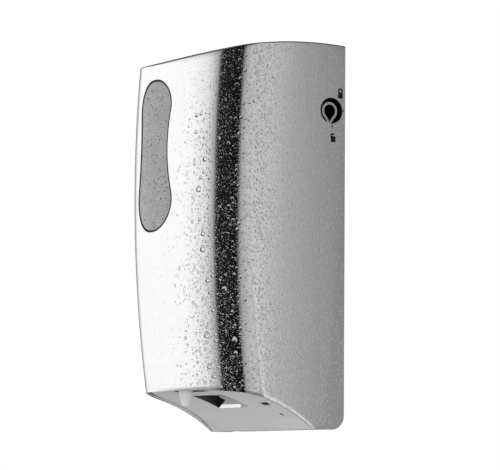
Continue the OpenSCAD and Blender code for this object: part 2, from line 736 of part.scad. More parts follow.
module compound_gear() color("ivory") place() difference() {
    union() {
        gear_at(comp_x, pump_z, first_n, gear_m, motor_dir, first_t, first_t + face_w);
        gear_at(comp_x, pump_z, second_n, gear_m, 180/second_n, first_t + face_w - 0.5, drive_t + face_w);
    }
    rod_t(comp_x, pump_z, first_t - 1, drive_t + face_w + 1, shaft_r + run);
    for (k = [0:5]) rod_t(comp_x + first_tip*0.66*cos(60*k), pump_z + first_tip*0.66*sin(60*k),
        first_t - 1, first_t + face_w + 1, 3);
}

module compound_pin() color("silver") place()
    rod_t(comp_x, pump_z, frame_t - 3, pump_plate_t + pump_plate_th - 0.5, shaft_r);

module drive_gear() color("ivory") place() difference() {
    union() {
        gear_at(pump_x, pump_z, drive_n, gear_m, 0, drive_t, drive_t + face_w);
        rod_t(pump_x, pump_z, drive_t - 1.5, drive_t + face_w + 1.5, shaft_r + 3);
    }
    rod_t(pump_x, pump_z, drive_t - 3, drive_t + face_w + 3, shaft_r + fit);
    for (k = [0:5]) rod_t(pump_x + drive_tip*0.6*cos(60*k), pump_z + drive_tip*0.6*sin(60*k),
        drive_t - 1, drive_t + face_w + 1, 4);
}

module drive_shaft() color("silver") place()
    rod_t(pump_x, pump_z, frame_t - 2.5, chamber_end + front_th - 1.2, shaft_r);

module pump_drive_gear() color("goldenrod") place() difference() {
    gear_at(pump_x, pump_z, pump_n, pump_m, 180, chamber_t + clear, chamber_end - clear);
    rod_t(pump_x, pump_z, chamber_t - 1, chamber_end + 1, shaft_r + fit);
}

module pump_idler_gear() color("goldenrod") place() difference() {
    gear_at(-pump_x, pump_z, pump_n, pump_m, 180/pump_n, chamber_t + clear, chamber_end - clear);
    rod_t(-pump_x, pump_z, chamber_t - 1, chamber_end + 1, shaft_r + run);
}

module pump_idler_pin() color("silver") place()
    rod_t(-pump_x, pump_z, pump_plate_t, chamber_end + front_th - 1.2, shaft_r);

module pump_plate() color("whitesmoke") place() difference() {
    block(spacer_x[0] - 4, spacer_x[1] + 4, pump_plate_t, pump_plate_t + pump_plate_th,
        spacer_z[0] - 3, spacer_z[1] + 3.4);
    rod_t(pump_x, pump_z, pump_plate_t - 1, chamber_t + 1, shaft_r + run);
    rod_t(-pump_x, pump_z, pump_plate_t - 1, chamber_t + 1, shaft_r + fit);
    rod_t(comp_x, pump_z, pump_plate_t - 1, chamber_t + 1, shaft_r + fit);
    for (p = spacer_at) rod_t(p[0], p[1], pump_plate_t - 1, chamber_t + 1, screw_r + fit);
    for (x = pump_screw_x) for (z = pump_screw_z) rod_t(x, z, pump_plate_t - 1, chamber_t + 1, screw_r + fit);
}

module pump_body() color("whitesmoke") place() difference() {
    union() {
        block(-pump_half, pump_half, chamber_t, chamber_end, pump_z - pump_tall, pump_z + pump_tall);
        translate([0, -nozzle_t, pump_z]) cylinder(r = inlet_r, h = tank_z - 6 - pump_z);
        translate([0, -nozzle_t, block_z + 9]) cylinder(r = spigot_r, h = pump_z - block_z - 9);
    }
    for (s = [-1, 1]) rod_t(s*pump_x, pump_z, chamber_t - 1, chamber_end + 1, pump_tip + chamber_gap);
    translate([0, -nozzle_t, pump_z]) cylinder(r = inlet_r - 1.5, h = tank_z);
    translate([0, -nozzle_t, 0]) cylinder(r = nozzle_bore + 0.5, h = pump_z);
    for (x = pump_screw_x) for (z = pump_screw_z) rod_t(x, z, chamber_t - 1, chamber_end + 1, screw_r + fit);
}

module pump_front() color("gainsboro") place() difference() {
    block(-pump_half, pump_half, chamber_end, chamber_end + front_th, pump_z - pump_tall, pump_z + pump_tall);
    rod_t(pump_x, pump_z, chamber_end - 1, chamber_end + front_th - 1, shaft_r + run);
    rod_t(-pump_x, pump_z, chamber_end - 1, chamber_end + front_th - 1, shaft_r + fit);
    for (x = pump_screw_x) for (z = pump_screw_z)
        rod_t(x, z, chamber_end - 1, chamber_end + front_th + 1, screw_r + fit);
}

module pump_screws() color("silver") place() for (x = pump_screw_x) for (z = pump_screw_z)
    screw_t(x, z, chamber_end + front_th, front_th + chamber_d + pump_plate_th - 0.5);

module inlet_ring() color("black") place() translate([0, -nozzle_t, spout_z + 5]) rotate_extrude()
    translate([(inlet_r + spout_in)/2, 0]) circle((spout_in - inlet_r)/2 - fit);

module tank_shelf() color("gainsboro") place() {
    half = xi - tank_side;
    block(-half - 2, half + 2, plate_th, shelf_d, shelf_z, tank_z);
    for (s = [-1, 1]) block(s > 0 ? half + fit : -half - 2, s > 0 ? half + 2 : -half - fit,
        plate_th, shelf_d, shelf_z, tank_z + 12);
}

// The tank's outside for no inset, its inside for the wall's thickness.
module tank_form(inset) {
    half = xi - tank_side - inset;
    rise = tank_z + shoulder;
    intersection() {
        bowed(wall + tank_gap + inset);
        union() {
            block(-half, half, tank_back + inset, cover_d, tank_z + inset, rise - inset);
            block(inset - tank_half, tank_half - inset, tank_back + inset, cover_d, tank_z + inset, tank_top - inset);
        }
    }
}

module tank() color("whitesmoke") place() difference() {
    union() {
        tank_form(0);
        translate([0, -neck_t, tank_top - 1]) cylinder(r = neck_r, h = neck_h + 1);
        for (k = [0, 180]) translate([0, -neck_t, tank_top + 6]) rotate([0, 0, k - 25])
            rotate_extrude(angle = 50) translate([neck_r - 1, 0]) square([2, 2]);
        translate([0, -nozzle_t, spout_z]) cylinder(r = spout_r, h = tank_z - spout_z + 1);
    }
    tank_form(tank_wall);
    translate([0, -neck_t, tank_top - 2*tank_wall]) cylinder(r = neck_r - 2.5, h = neck_h + 3*tank_wall);
    translate([0, -nozzle_t, spout_z - 1]) cylinder(r = spout_in, h = tank_z - spout_z + 2*tank_wall);
}

module filler_cap() color("dimgray") place() translate([0, -neck_t, 0]) {
    difference() {
        translate([0, 0, cap_low]) cylinder(r = cap_r, h = cap_top - cap_low);
        translate([0, 0, cap_low - 1]) cylinder(r = cap_in, h = cap_top - cap_roof - cap_low + 1);
        for (k = [0:11]) rotate([0, 0, 30*k + 15]) translate([cap_r + 2.2, 0, cap_low - 1]) cylinder(r = 3, h = 30);
    }
    for (k = [0, 180]) translate([0, 0, cap_low + 0.4]) rotate([0, 0, k - 22]) rotate_extrude(angle = 44)
        translate([neck_r + clear, 0]) square([cap_in - neck_r - clear + 0.5, 2.4]);
}

module cap_seal() color("black") place() translate([0, -neck_t, cap_top - cap_roof - 1.2]) difference() {
    cylinder(r = neck_r, h = 1.2);
    translate([0, 0, -1]) cylinder(r = neck_r - 2.5, h = 4);
}

module battery_box() color("dimgray") place() {
    difference() {
        block(box_left, box_right, plate_th, box_front, box_low, box_top);
        block(box_left + box_wall, box_right - box_wall, plate_th + box_wall, box_front + 1,
            box_low + box_wall, box_top - box_wall);
    }
    for (z = [[door_z0, door_z0 + 5], [door_z1 - 5, door_z1]]) difference() {
        union() {
            translate([door_x, -door_t, z[0]]) cylinder(r = knuckle_r, h = z[1] - z[0]);
            block(door_x - box_wall/2, door_x + box_wall/2, box_front - 1, door_t, z[0], z[1]);
        }
        translate([door_x, -door_t, z[0] - 1]) cylinder(r = door_pin + fit, h = z[1] - z[0] + 2);
    }
}

// The four cells stand in two rows of two.
module at_cells() for (i = [0, 1]) for (j = [0, 1])
    translate([box_left + box_wall + box_in/2 + (2*i - 1)*(cell_r + 0.25),
        -(plate_th + box_wall + box_in/2 + (2*j - 1)*(cell_r + 0.25)), 0]) rotate([(i + j)%2*180, 0, 0])
            translate([0, 0, (i + j)%2*(-2*cell_low - cell_l)]) children();

module battery_cells() color("peru") place() at_cells() {
    translate([0, 0, cell_low]) cylinder(r = cell_r, h = cell_l);
    translate([0, 0, cell_low + cell_l - 0.5]) cylinder(r = 2.7, h = 1.7);
}

module battery_contacts() color("silver") place() at_cells() {
    translate([0, 0, cell_low + cell_l + 1.2]) cylinder(r = 4.5, h = 2);
    translate([0, 0, cell_low - 3.2]) cylinder(r = 4.5, h = 0.8);
    translate([0, 0, cell_low - 2.6]) cylinder(r1 = 4.2, r2 = 2.4, h = 2.6);
}

module battery_door() color("gray") place() difference() {
    union() {
        block(box_left + 0.2, door_x - knuckle_r + 0.6, box_front + clear, box_front + clear + door_th,
            door_z0 + 0.4, door_z1 - 0.4);
        translate([door_x, -door_t, door_z0 + 5.5]) cylinder(r = knuckle_r, h = door_z1 - door_z0 - 11);
        block(door_x - knuckle_r, door_x, box_front + clear + 0.4, box_front + clear + door_th,
            door_z0 + 5.5, door_z1 - 5.5);
        block(box_left + 1.5, box_left + 4, box_front + clear + door_th - 0.5, box_front + clear + door_th + 2.5,
            (door_z0 + door_z1)/2 - 6, (door_z0 + door_z1)/2 + 6);
    }
    translate([door_x, -door_t, door_z0]) cylinder(r = door_pin + run, h = door_z1 - door_z0);
    for (z = [door_z0 - 1, door_z1 - 5.4]) block(door_x - knuckle_r - 0.4, door_x + 5, 0, door_t + 5, z, z + 6.4);
}

module door_pin_rod() color("silver") place()
    translate([door_x, -door_t, door_z0 + 0.2]) cylinder(r = door_pin, h = door_z1 - door_z0 - 0.4);

module control_board() color("darkgreen") place() difference() {
    block(pcb_x0, pcb_x0 + pcb_w, pcb_t, pcb_t + pcb_th, pcb_z0, pcb_z0 + pcb_h);
    for (x = [pcb_x0 + 4, pcb_x0 + pcb_w - 4]) for (z = [pcb_z0 + 4, pcb_z0 + pcb_h - 4])
        rod_t(x, z, pcb_t - 1, pcb_t + pcb_th + 1, screw_r + fit);
}

module board_parts() color("black") place() {
    face = pcb_t + pcb_th;
    u = pcb_w/40;
    v = pcb_h/42;
    block(pcb_x0 + 12*u, pcb_x0 + 24*u, face, face + pcb_th, pcb_z0 + 15*v, pcb_z0 + 27*v);
    rod_t(pcb_x0 + 10*u, pcb_z0 + 33*v, face, face + 8*u, 3.2*u);
    rod_t(pcb_x0 + 19*u, pcb_z0 + 34*v, face, face + 6*u, 2.5*u);
    block(pcb_x0 + 9*u, pcb_x0 + 21*u, face, face + 6*u, pcb_z0 + 3*v, pcb_z0 + 9*v);
    block(pcb_x0 + 28*u, pcb_x0 + 33*u, face, face + 5*u, pcb_z0 + 14*v, pcb_z0 + 26*v);
}

module board_screws() color("silver") place()
    for (x = [pcb_x0 + 4, pcb_x0 + pcb_w - 4]) for (z = [pcb_z0 + 4, pcb_z0 + pcb_h - 4])
        screw_t(x, z, pcb_t + pcb_th, pcb_th + 4.5);

module front_cover() color("silver") place() {
    difference() {
        union() {
            difference() {
                intersection() {
                    bowed(0);
                    across(-xo - 1, xo + 1) cover_side();
                }
                intersection() {
                    bowed(wall);
                    under_top(wall, -5, -10);
                }
            }
            for (s = [-1, 1]) rod_x(s > 0 ? xi - boss_len : -xi - 0.5, s > 0 ? xi + 0.5 : boss_len - xi,
                hinge_t, hinge_z, boss_r);
            for (z = [lock_z - 6.5, lock_z + 6.5]) {
                rod_x(xi - 2.6, xi + 0.5, post_t, z, 1.5);
                rod_x(xi - 3.2, xi - 2, post_t, z, 2.6);
            }
        }
        for (s = [-1, 1]) rod_x(s > 0 ? xi - boss_len - 1 : -xi - 0.5, s > 0 ? xi + 0.5 : boss_len + 1 - xi,
            hinge_t, hinge_z, pin_r + run);
        rod_x(xi - 1, xo + 1, lock_t, lock_z, recess_r);
        forward(cover_d/2, cover_d + 1) window(0);
    }
}

module window_lens() color("slategray") place() intersection() {
    forward(cover_d/2, cover_d + 1) window(lens_flange);
    difference() {
        union() {
            intersection() {
                bowed(lens_recess);
                forward(cover_d/2, cover_d + 1) window(-lens_gap);
            }
            bowed(wall);
        }
        bowed(wall + flange_th);
    }
}

module lock_housing() color("dimgray") place() difference() {
    union() {
        rod_x(house_x, xi, lock_t, lock_z, house_r);
        block(xi - 2, xi, lock_t, post_t + 4, lock_z - house_r, lock_z + house_r);
    }
    rod_x(floor_x, xi + 1, lock_t, lock_z, recess_r);
    rod_x(house_x - 1, xi, lock_t, lock_z, barrel_r + run);
    for (z = [lock_z - 6.5, lock_z + 6.5]) rod_x(xi - 3, xi + 1, post_t, z, 1.5 + fit);
}

// A tear drop: a round with a tail that points down when unlocked.
module drop(r, tail) {
    a = acos(r/tail);
    near = 0.94*r;
    circle(r);
    polygon([[0, 0], [near*sin(a), -near*cos(a)], [0, -tail], [-near*sin(a), -near*cos(a)]]);
}

module lock_barrel() color("gray") place() difference() {
    rim = socket_r + collar_wall;
    union() {
        rod_x(cam_x, face_x - 0.5, lock_t, lock_z, barrel_r);
        rod_x(face_x - head_th, face_x, lock_t, lock_z, head_r);
        translate([0, -lock_t, lock_z]) across(face_x - 0.5, face_x + collar_h) intersection() {
            drop(rim, socket_tail*rim/socket_r);
            circle(head_r - 0.1);
        }
    }
    translate([0, -lock_t, lock_z]) across(face_x - socket_depth, face_x + collar_h + 1) intersection() {
        drop(socket_r, socket_tail);
        circle(barrel_r - 0.8);
    }
    translate([0, -lock_t, lock_z]) across(face_x - 0.8, face_x + collar_h + 1) drop(socket_r, socket_tail);
    rod_x(cam_x - 1, cam_x + 2.6, lock_t, lock_z, screw_r + fit);
}

module lock_cam() color("silver") place() difference() {
    union() {
        rod_x(cam_x - cam_th, cam_x, lock_t, lock_z, hub_r);
        block(cam_x - cam_th, cam_x, lock_t - cam_len, lock_t, lock_z - cam_w/2, lock_z + cam_w/2);
    }
    rod_x(cam_x - cam_th - 1, cam_x + 1, lock_t, lock_z, screw_r + fit);
}

module cam_screw() color("silver") place() {
    rod_x(cam_x - cam_th - screw_cap, cam_x - cam_th, lock_t, lock_z, screw_head);
    rod_x(cam_x - cam_th, cam_x + 2.4, lock_t, lock_z, screw_r);
}

wall_plate();
latch_keeper();
hinge_pins();
base_tray();
tray_screws();
nozzle_block();
nozzle();
outlet_hose();
sensor_lens();
sensor_board();
ir_emitter();
ir_receiver();
status_light();
switch_body();
power_switch();
gear_frame();
frame_screws();
spacers();
motor();
motor_screws();
motor_pinion();
compound_gear();
compound_pin();
drive_gear();
drive_shaft();
pump_drive_gear();
pump_idler_gear();
pump_idler_pin();
pump_plate();
pump_body();
pump_front();
pump_screws();
inlet_ring();
tank_shelf();
tank();
filler_cap();
cap_seal();
battery_box();
battery_cells();
battery_contacts();
battery_door();
door_pin_rod();
control_board();
board_parts();
board_screws();
keeper_screws();
front_cover();
window_lens();
lock_housing();
lock_barrel();
lock_cam();
cam_screw();
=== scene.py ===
import json
import math
import random
from itertools import product

import bmesh
import bpy
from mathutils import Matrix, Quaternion, Vector


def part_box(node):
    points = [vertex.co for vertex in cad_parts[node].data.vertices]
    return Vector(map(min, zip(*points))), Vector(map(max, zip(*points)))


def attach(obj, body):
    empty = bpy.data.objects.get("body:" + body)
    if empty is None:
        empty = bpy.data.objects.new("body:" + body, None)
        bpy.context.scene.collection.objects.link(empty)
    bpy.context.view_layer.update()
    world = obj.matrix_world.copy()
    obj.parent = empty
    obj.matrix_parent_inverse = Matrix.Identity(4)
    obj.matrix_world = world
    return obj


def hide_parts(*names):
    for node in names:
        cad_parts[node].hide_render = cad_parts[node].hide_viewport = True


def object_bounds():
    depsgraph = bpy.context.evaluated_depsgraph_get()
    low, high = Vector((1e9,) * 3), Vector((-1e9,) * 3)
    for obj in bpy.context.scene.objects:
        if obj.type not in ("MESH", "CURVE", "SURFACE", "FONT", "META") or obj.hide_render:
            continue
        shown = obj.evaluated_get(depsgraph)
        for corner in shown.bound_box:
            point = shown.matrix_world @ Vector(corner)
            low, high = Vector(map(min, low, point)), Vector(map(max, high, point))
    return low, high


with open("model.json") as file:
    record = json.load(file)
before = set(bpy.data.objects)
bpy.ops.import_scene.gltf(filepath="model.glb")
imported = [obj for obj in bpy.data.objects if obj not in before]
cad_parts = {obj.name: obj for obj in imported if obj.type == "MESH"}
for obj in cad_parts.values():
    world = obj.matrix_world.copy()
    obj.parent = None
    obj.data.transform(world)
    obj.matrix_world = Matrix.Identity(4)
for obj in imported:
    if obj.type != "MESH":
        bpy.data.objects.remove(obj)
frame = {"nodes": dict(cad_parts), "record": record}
cad_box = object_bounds()
scene = bpy.context.scene
scene.view_settings.view_transform = "Standard"

# ---------------------------------------------------------------- sizes
# Metres. Heights count from the cover's lower edge, depths from the wall.
FOOT = -0.130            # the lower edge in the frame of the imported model
SKIN = 0.00035           # room left under the box for drops of water
COVER_HALF = 0.068       # half the cover's width
HALF_W = COVER_HALF - SKIN    # outer face of a side wall
COVER_D = 0.114
COVER_H = 0.2615
WALL = 0.0025
BACK_GAP = 0.001         # between cover and wall
FRONT_R = 0.090          # plan radius of the front
FRONT_C = COVER_D - FRONT_R
CORNER_X = 0.048         # centre of a corner in plan
CORNER_R = 0.020
BOW_R = 0.960            # vertical bow of the front
BOW_H = 0.168
TOP_R = 0.300            # arched top, seen from the side
CREST_T = 0.021
ARCH_R = 0.113           # scooped underside, seen from the side
ARCH_T = 0.0965
ARCH_C = 0.0253 - ARCH_R
HINGE_T = 0.0105         # axis of the hinge
HINGE_H = 0.0095
PIN_R = 0.00205
LOCK_T = 0.0122          # axis of the lock
LOCK_H = 0.2157
LOCK_HEAD = 0.0612       # sunk head of the barrel, and the collar that stands on it
LOCK_COLLAR = 0.0654
SOCKET_R = 0.0044
SOCKET_TAIL = 0.0074
COLLAR_WALL = 0.0017
RECESS_R = 0.0088
LOBE_R = (0.022, 0.0192)         # window lobes, lower and upper: corner radius,
LOBE_X = (0.001, 0.0016)         # half the flat between the corners
LOBE_H = (0.1545, 0.2176)        # and height of the corners' centres
WAIST_R = 0.125
LENS_BACK = 0.0008       # how far the window's face lies behind the front
BEAD_BACK = 0.0003       # black seal between window and cover
BEAD_W = 0.0015
BEAD_CLEAR = 0.00005     # left between seal and window
POCKET_W = 0.040         # sensor pocket in the underside
POCKET_T = 0.047
POCKET_D = 0.022
POCKET_H = 0.0155        # height of the pocket's mouth at its back
SLOT_W = 0.0386          # slot round the nozzle, painted black as the shade in it
SLOT_T = (0.0782, 0.0918)
BOX_MARGIN = 0.00002     # drops stay so far inside the solids' box, in width and depth
BOX_ROOM = (cad_box[1][0] - BOX_MARGIN, -cad_box[0][1] - BOX_MARGIN)
FACING_SIDE = (0, math.pi / 2, 0)    # turn of a primitive that then faces along X

CORNER_A = math.asin(CORNER_X / (FRONT_R - CORNER_R))
CORNER_T = FRONT_C + (FRONT_R - CORNER_R) * math.cos(CORNER_A)
FRONT_EDGE = 0.055       # along the plan from the middle, where a corner's dense spray begins
CORNER_EDGE = FRONT_R * CORNER_A + CORNER_R * (math.pi / 2 - CORNER_A) - 0.0001
ARCH_FOOT = ARCH_T - math.sqrt(ARCH_R**2 - ARCH_C**2)
TRAY_INSET = 0.0015      # how far the tray lies inside the cover's lower edge
SIDE_NEAR = 0.026        # up to this depth the side's columns stand upright

# the window's waist: a wide arc that touches a lower corner and the upper one over it
SPAN = (LOBE_X[1] - LOBE_X[0], LOBE_H[1] - LOBE_H[0])
REACH = math.hypot(*SPAN)
WAIST_UP = ((LOBE_R[0] + WAIST_R) ** 2 - (LOBE_R[1] + WAIST_R) ** 2 + REACH**2) / (2 * REACH)
WAIST_OUT = math.sqrt((LOBE_R[0] + WAIST_R) ** 2 - WAIST_UP**2)
WAIST_X = LOBE_X[0] + (WAIST_UP * SPAN[0] + WAIST_OUT * SPAN[1]) / REACH
WAIST_H = LOBE_H[0] + (WAIST_UP * SPAN[1] - WAIST_OUT * SPAN[0]) / REACH


# ---------------------------------------------------------------- the cover's outer face
def bowed(plan_t, height):
    """Depth, at a height, of a point of the plan that is swept round the bow."""
    return COVER_D - BOW_R + math.sqrt((BOW_R - COVER_D + plan_t) ** 2 - (height - BOW_H) ** 2)


def lower_edge(t):
    """Height of the cover's lower edge at a depth: round at the hinge, flat, then scooped."""
    if t < HINGE_T:
        return HINGE_H - math.sqrt(max(0.0, HINGE_H**2 - (HINGE_T - t) ** 2))
    if t < ARCH_FOOT:
        return 0.0
    return ARCH_C + math.sqrt(ARCH_R**2 - (t - ARCH_T) ** 2)


def crown(t):
    """Height of the arched top at a depth."""
    return COVER_H - TOP_R + math.sqrt(TOP_R**2 - (t - CREST_T) ** 2)


def side_depth(plan_t, height):
    """Depth of a side wall's column, which leans with the corner only near the front."""
    if plan_t <= SIDE_NEAR:
        return plan_t
    share = (plan_t - SIDE_NEAR) / (CORNER_T - SIDE_NEAR)
    return SIDE_NEAR + share * (bowed(CORNER_T, height) - SIDE_NEAR)


def row_point(plan_t, share, on_side, drop):
    """Depth and height of a plan point, a share of the way up to a drop under the top."""
    height = share * COVER_H
    # depth and height hang on each other, and come to rest in a few rounds
    for _ in range(14):
        t = side_depth(plan_t, height) if on_side else bowed(plan_t, height)
        height = (1 - share) * lower_edge(t) + share * (crown(t) - drop)
    return t, height


def front_point(turn, height, sink=0.0):
    """Point and normal of the front or a corner; turn is the plan angle from straight ahead."""
    if abs(turn) <= CORNER_A:
        x = (FRONT_R - SKIN) * math.sin(turn)
        plan_t = FRONT_C + (FRONT_R - SKIN) * math.cos(turn)
    else:
        x = math.copysign(CORNER_X, turn) + (CORNER_R - SKIN) * math.sin(turn)
        plan_t = CORNER_T + (CORNER_R - SKIN) * math.cos(turn)
    lean = math.asin((height - BOW_H) / (BOW_R - COVER_D + plan_t))
    ahead = math.cos(turn)
    normal = Vector((math.sin(turn), -ahead * math.cos(lean), ahead * math.sin(lean)))
    return Vector((x, -bowed(plan_t, height), FOOT + height)) - normal * sink, normal


def turn_at(run):
    """Plan angle at a distance along the plan from the middle of the front."""
    bend = max(0.0, abs(run) - FRONT_R * CORNER_A)
    return math.copysign((abs(run) - bend) / FRONT_R + bend / CORNER_R, run)


def in_window(x, height, grow):
    """Whether a point lies in the waisted window, grown by an amount."""
    for r, flat, h in zip(LOBE_R, LOBE_X, LOBE_H):
        if math.hypot(max(0.0, abs(x) - flat), height - h) < r + grow:
            return True
    if not LOBE_H[0] < height < LOBE_H[1]:
        return False
    return abs(x) < WAIST_X - math.sqrt((WAIST_R - grow) ** 2 - (height - WAIST_H) ** 2)


# ---------------------------------------------------------------- modelling by hand
def clear_bench():
    """Object mode, with nothing selected."""
    if bpy.context.object and bpy.context.object.mode != "OBJECT":
        bpy.ops.object.mode_set(mode="OBJECT")
    bpy.ops.object.select_all(action="DESELECT")


def take(piece):
    """Only this piece selected and active."""
    clear_bench()
    piece.select_set(True)
    bpy.context.view_layer.objects.active = piece


def named(name):
    """The new primitive under its name, with its place put into its mesh, open for editing."""
    piece = bpy.context.object
    piece.name = piece.data.name = name
    bpy.ops.object.transform_apply(location=True, rotation=True, scale=True)
    bpy.ops.object.mode_set(mode="EDIT")
    bpy.context.tool_settings.mesh_select_mode = (True, False, False)
    bpy.ops.mesh.select_all(action="SELECT")
    return piece


def start_point(name, place):
    """A single point to draw an outline from."""
    clear_bench()
    bpy.ops.mesh.primitive_plane_add(size=0.001, location=place)
    piece = named(name)
    bpy.ops.mesh.merge(type="CENTER")
    return piece


def draw(x, y, z):
    """Pulls what is selected along by a step."""
    bpy.ops.mesh.extrude_region_move(TRANSFORM_OT_translate={"value": (x, y, z)})


def arc(turn, steps, centre, axis):
    """Pulls what is selected round an axis."""
    bpy.ops.mesh.spin(steps=steps, angle=turn, center=centre, axis=axis)


def choose_edges(piece, test):
    """Selects the edges that pass a test."""
    bpy.context.tool_settings.mesh_select_mode = (False, True, False)
    bpy.ops.mesh.select_all(action="DESELECT")
    drawn = bmesh.from_edit_mesh(piece.data)
    for edge in drawn.edges:
        if test(edge):
            edge.select_set(True)
    bmesh.update_edit_mesh(piece.data)


def knit(near=0.00001):
    """Merges the doubled points of the piece in work and turns its faces outwards."""
    bpy.context.tool_settings.mesh_select_mode = (True, False, False)
    bpy.ops.mesh.select_all(action="SELECT")
    bpy.ops.mesh.remove_doubles(threshold=near)
    bpy.ops.mesh.normals_make_consistent(inside=False)


def apply_modifier(piece, kind, **settings):
    """Adds a modifier with these settings and applies it."""
    take(piece)
    made = piece.modifiers.new(kind.lower(), kind)
    for key, value in settings.items():
        setattr(made, key, value)
    bpy.ops.object.modifier_apply(modifier=made.name)


def ease_edges(piece, width, degrees):
    """Rounds the edges that bend by more than an angle."""
    apply_modifier(
        piece, "BEVEL", width=width, segments=2,
        limit_method="ANGLE", angle_limit=math.radians(degrees),
    )


def cut_away(piece, tool):
    """Cuts a tool's shape out of a piece and throws the tool away."""
    apply_modifier(piece, "BOOLEAN", object=tool, operation="DIFFERENCE", solver="EXACT")
    bpy.data.objects.remove(tool)


def smooth(piece, degrees=32):
    """Smooth shading, apart from edges that bend by more than an angle."""
    take(piece)
    bpy.ops.object.shade_smooth_by_angle(angle=math.radians(degrees))
    clear_bench()


def put_on(piece, body, finish):
    """Gives a piece its finish and lets it move with a body."""
    piece.data.materials.clear()
    piece.data.materials.append(finish)
    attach(piece, body)


# ---------------------------------------------------------------- shader sums
class Wire:
    """A socket of a node tree. A sum written with it adds its Math nodes."""

    def __init__(self, tree, socket=None):
        self.tree, self.socket = tree, socket

    def node(self, kind, settings=None, inputs=None, out=0):
        made = self.tree.nodes.new(kind)
        for key, value in (settings or {}).items():
            if key == "stops":
                ramp = made.color_ramp
                ramp.elements[0].position, ramp.elements[1].position = value[0][0], value[-1][0]
                for place, _ in value[1:-1]:
                    ramp.elements.new(place)
                for element, (_, tone) in zip(ramp.elements, value):
                    element.color = (tone, tone, tone, 1.0)
            else:
                setattr(made, key, value)
        for key, value in (inputs or {}).items():
            if isinstance(value, Wire):
                self.tree.links.new(value.socket, made.inputs[key])
            else:
                made.inputs[key].default_value = value
        return Wire(self.tree, made.outputs[out])

    def other(self, name):
        return Wire(self.tree, self.socket.node.outputs[name])

    def sum(self, operation, a, b=0.0):
        return self.node("ShaderNodeMath", {"operation": operation}, {0: a, 1: b})

    def __add__(self, b):
        return self.sum("ADD", self, b)

    def __radd__(self, a):
        return self.sum("ADD", a, self)

    def __sub__(self, b):
        return self.sum("SUBTRACT", self, b)

    def __rsub__(self, a):
        return self.sum("SUBTRACT", a, self)

    def __mul__(self, b):
        return self.sum("MULTIPLY", self, b)

    def __rmul__(self, a):
        return self.sum("MULTIPLY", a, self)

    def __truediv__(self, b):
        return self.sum("DIVIDE", self, b)

    def __pow__(self, b):
        return self.sum("POWER", self, b)

    def __gt__(self, b):
        return self.sum("GREATER_THAN", self, b)

    def __lt__(self, b):
        return self.sum("LESS_THAN", self, b)

    def over(self, low):
        return self.sum("MAXIMUM", self, low)

    def under(self, high):
        return self.sum("MINIMUM", self, high)

    def step(self, low, high):
        """0 below low, 1 above high, smooth between."""
        return self.node(
            "ShaderNodeMapRange",
            {"interpolation_type": "SMOOTHSTEP"},
            {"Value": self, "From Min": low, "From Max": high},
        )

    def axes(self):
        split = self.node("ShaderNodeSeparateXYZ", {}, {0: self})
        return split, split.other("Y"), split.other("Z")

    def noise(self, scale, detail=2.0, rough=0.5):
        return self.node(
            "ShaderNodeTexNoise",
            {},
            {"Vector": self, "Scale": scale, "Detail": detail, "Roughness": rough},
        )

    def stretched(self, x, y, z):
        return self.node("ShaderNodeMapping", {}, {"Vector": self, "Scale": (x, y, z)})

    def cells(self, scale, spread=1.0):
        return self.node(
            "ShaderNodeTexVoronoi",
            {},
            {"Vector": self, "Scale": scale, "Randomness": spread},
            "Distance",
        )

    def mix(self, a, b):
        """A colour between two, by this share."""
        colours = {6: a, 7: b}
        for key, value in colours.items():
            if isinstance(value, tuple):
                colours[key] = (*value, 1.0)
        return self.node("ShaderNodeMix", {"data_type": "RGBA"}, {0: self, **colours}, 2)

    def bump(self, depth, strength=1.0):
        return self.node(
            "ShaderNodeBump",
            {},
            {"Height": self, "Distance": depth, "Strength": strength},
            "Normal",
        )


def new_finish(name):
    """A material, its shader's setter and the object coordinates that its patterns read."""
    made = bpy.data.materials.new(name)
    made.use_nodes = True
    tree = made.node_tree
    shader = tree.nodes["Principled BSDF"]

    def lay(**inputs):
        for key, value in inputs.items():
            socket = shader.inputs[key.replace("_", " ")]
            if isinstance(value, Wire):
                tree.links.new(value.socket, socket)
            else:
                socket.default_value = (*value, 1.0) if isinstance(value, tuple) else value

    return made, lay, Wire(tree).node("ShaderNodeTexCoord", out="Object")


# ---------------------------------------------------------------- finishes
def drop_layer(place, scale, keep):
    """Small domes scattered over a surface, each with its own size."""
    far = place.cells(scale)
    chance = far.other("Color").node("ShaderNodeSeparateColor", {}, {0: far.other("Color")})
    size = 0.16 + 0.2 * chance
    dome = (1 - (far / size) ** 2).over(0.0)
    return dome * (chance.other("Green") > keep)


def wet_chrome():
    """Polished plate under a fine mist, thinnest on the front's upper left, and a dull film."""
    made, lay, place = new_finish("wet_chrome")
    x, y, z = place.axes()
    haze = place.noise(55, 3)
    patch = place.noise(34, 2).step(0.28, 0.62)
    # the mist is thin on the dry part of the front and between the corner's full drops
    dry = z.step(0.03, 0.11) * (1 - x.step(0.005, 0.06))
    corner = x.step(0.046, 0.054) * (1 - y.step(-0.094, -0.084))
    mist = drop_layer(place, 560, 0.2) + 0.8 * drop_layer(place, 1050, 0.15)
    veil = (mist * (0.4 + 0.6 * patch) * (1 - 0.8 * dry) * (1 - 0.5 * corner)).under(1.0)
    # the film is coarse on the sides, thinner towards the wall, and finer low on the front
    side = y.step(-0.098, -0.088)
    low = 1 - z.step(-0.10, 0.03)
    coarse = place.noise(430, 3).step(0.34, 0.66) * side * (1 - 0.35 * y.step(-0.085, -0.05))
    fine = 0.5 * place.noise(700, 2).step(0.3, 0.7) * (1 - side) * low
    dull = 0.15 * haze + 0.4 * veil + 0.45 * (coarse + fine)
    lay(
        Base_Color=dull.mix((0.95, 0.95, 0.95), (0.67, 0.675, 0.68)),
        Metallic=1.0,
        Roughness=0.03 + 0.05 * haze,
        Normal=(1 - veil).bump(0.00005),
    )
    return made


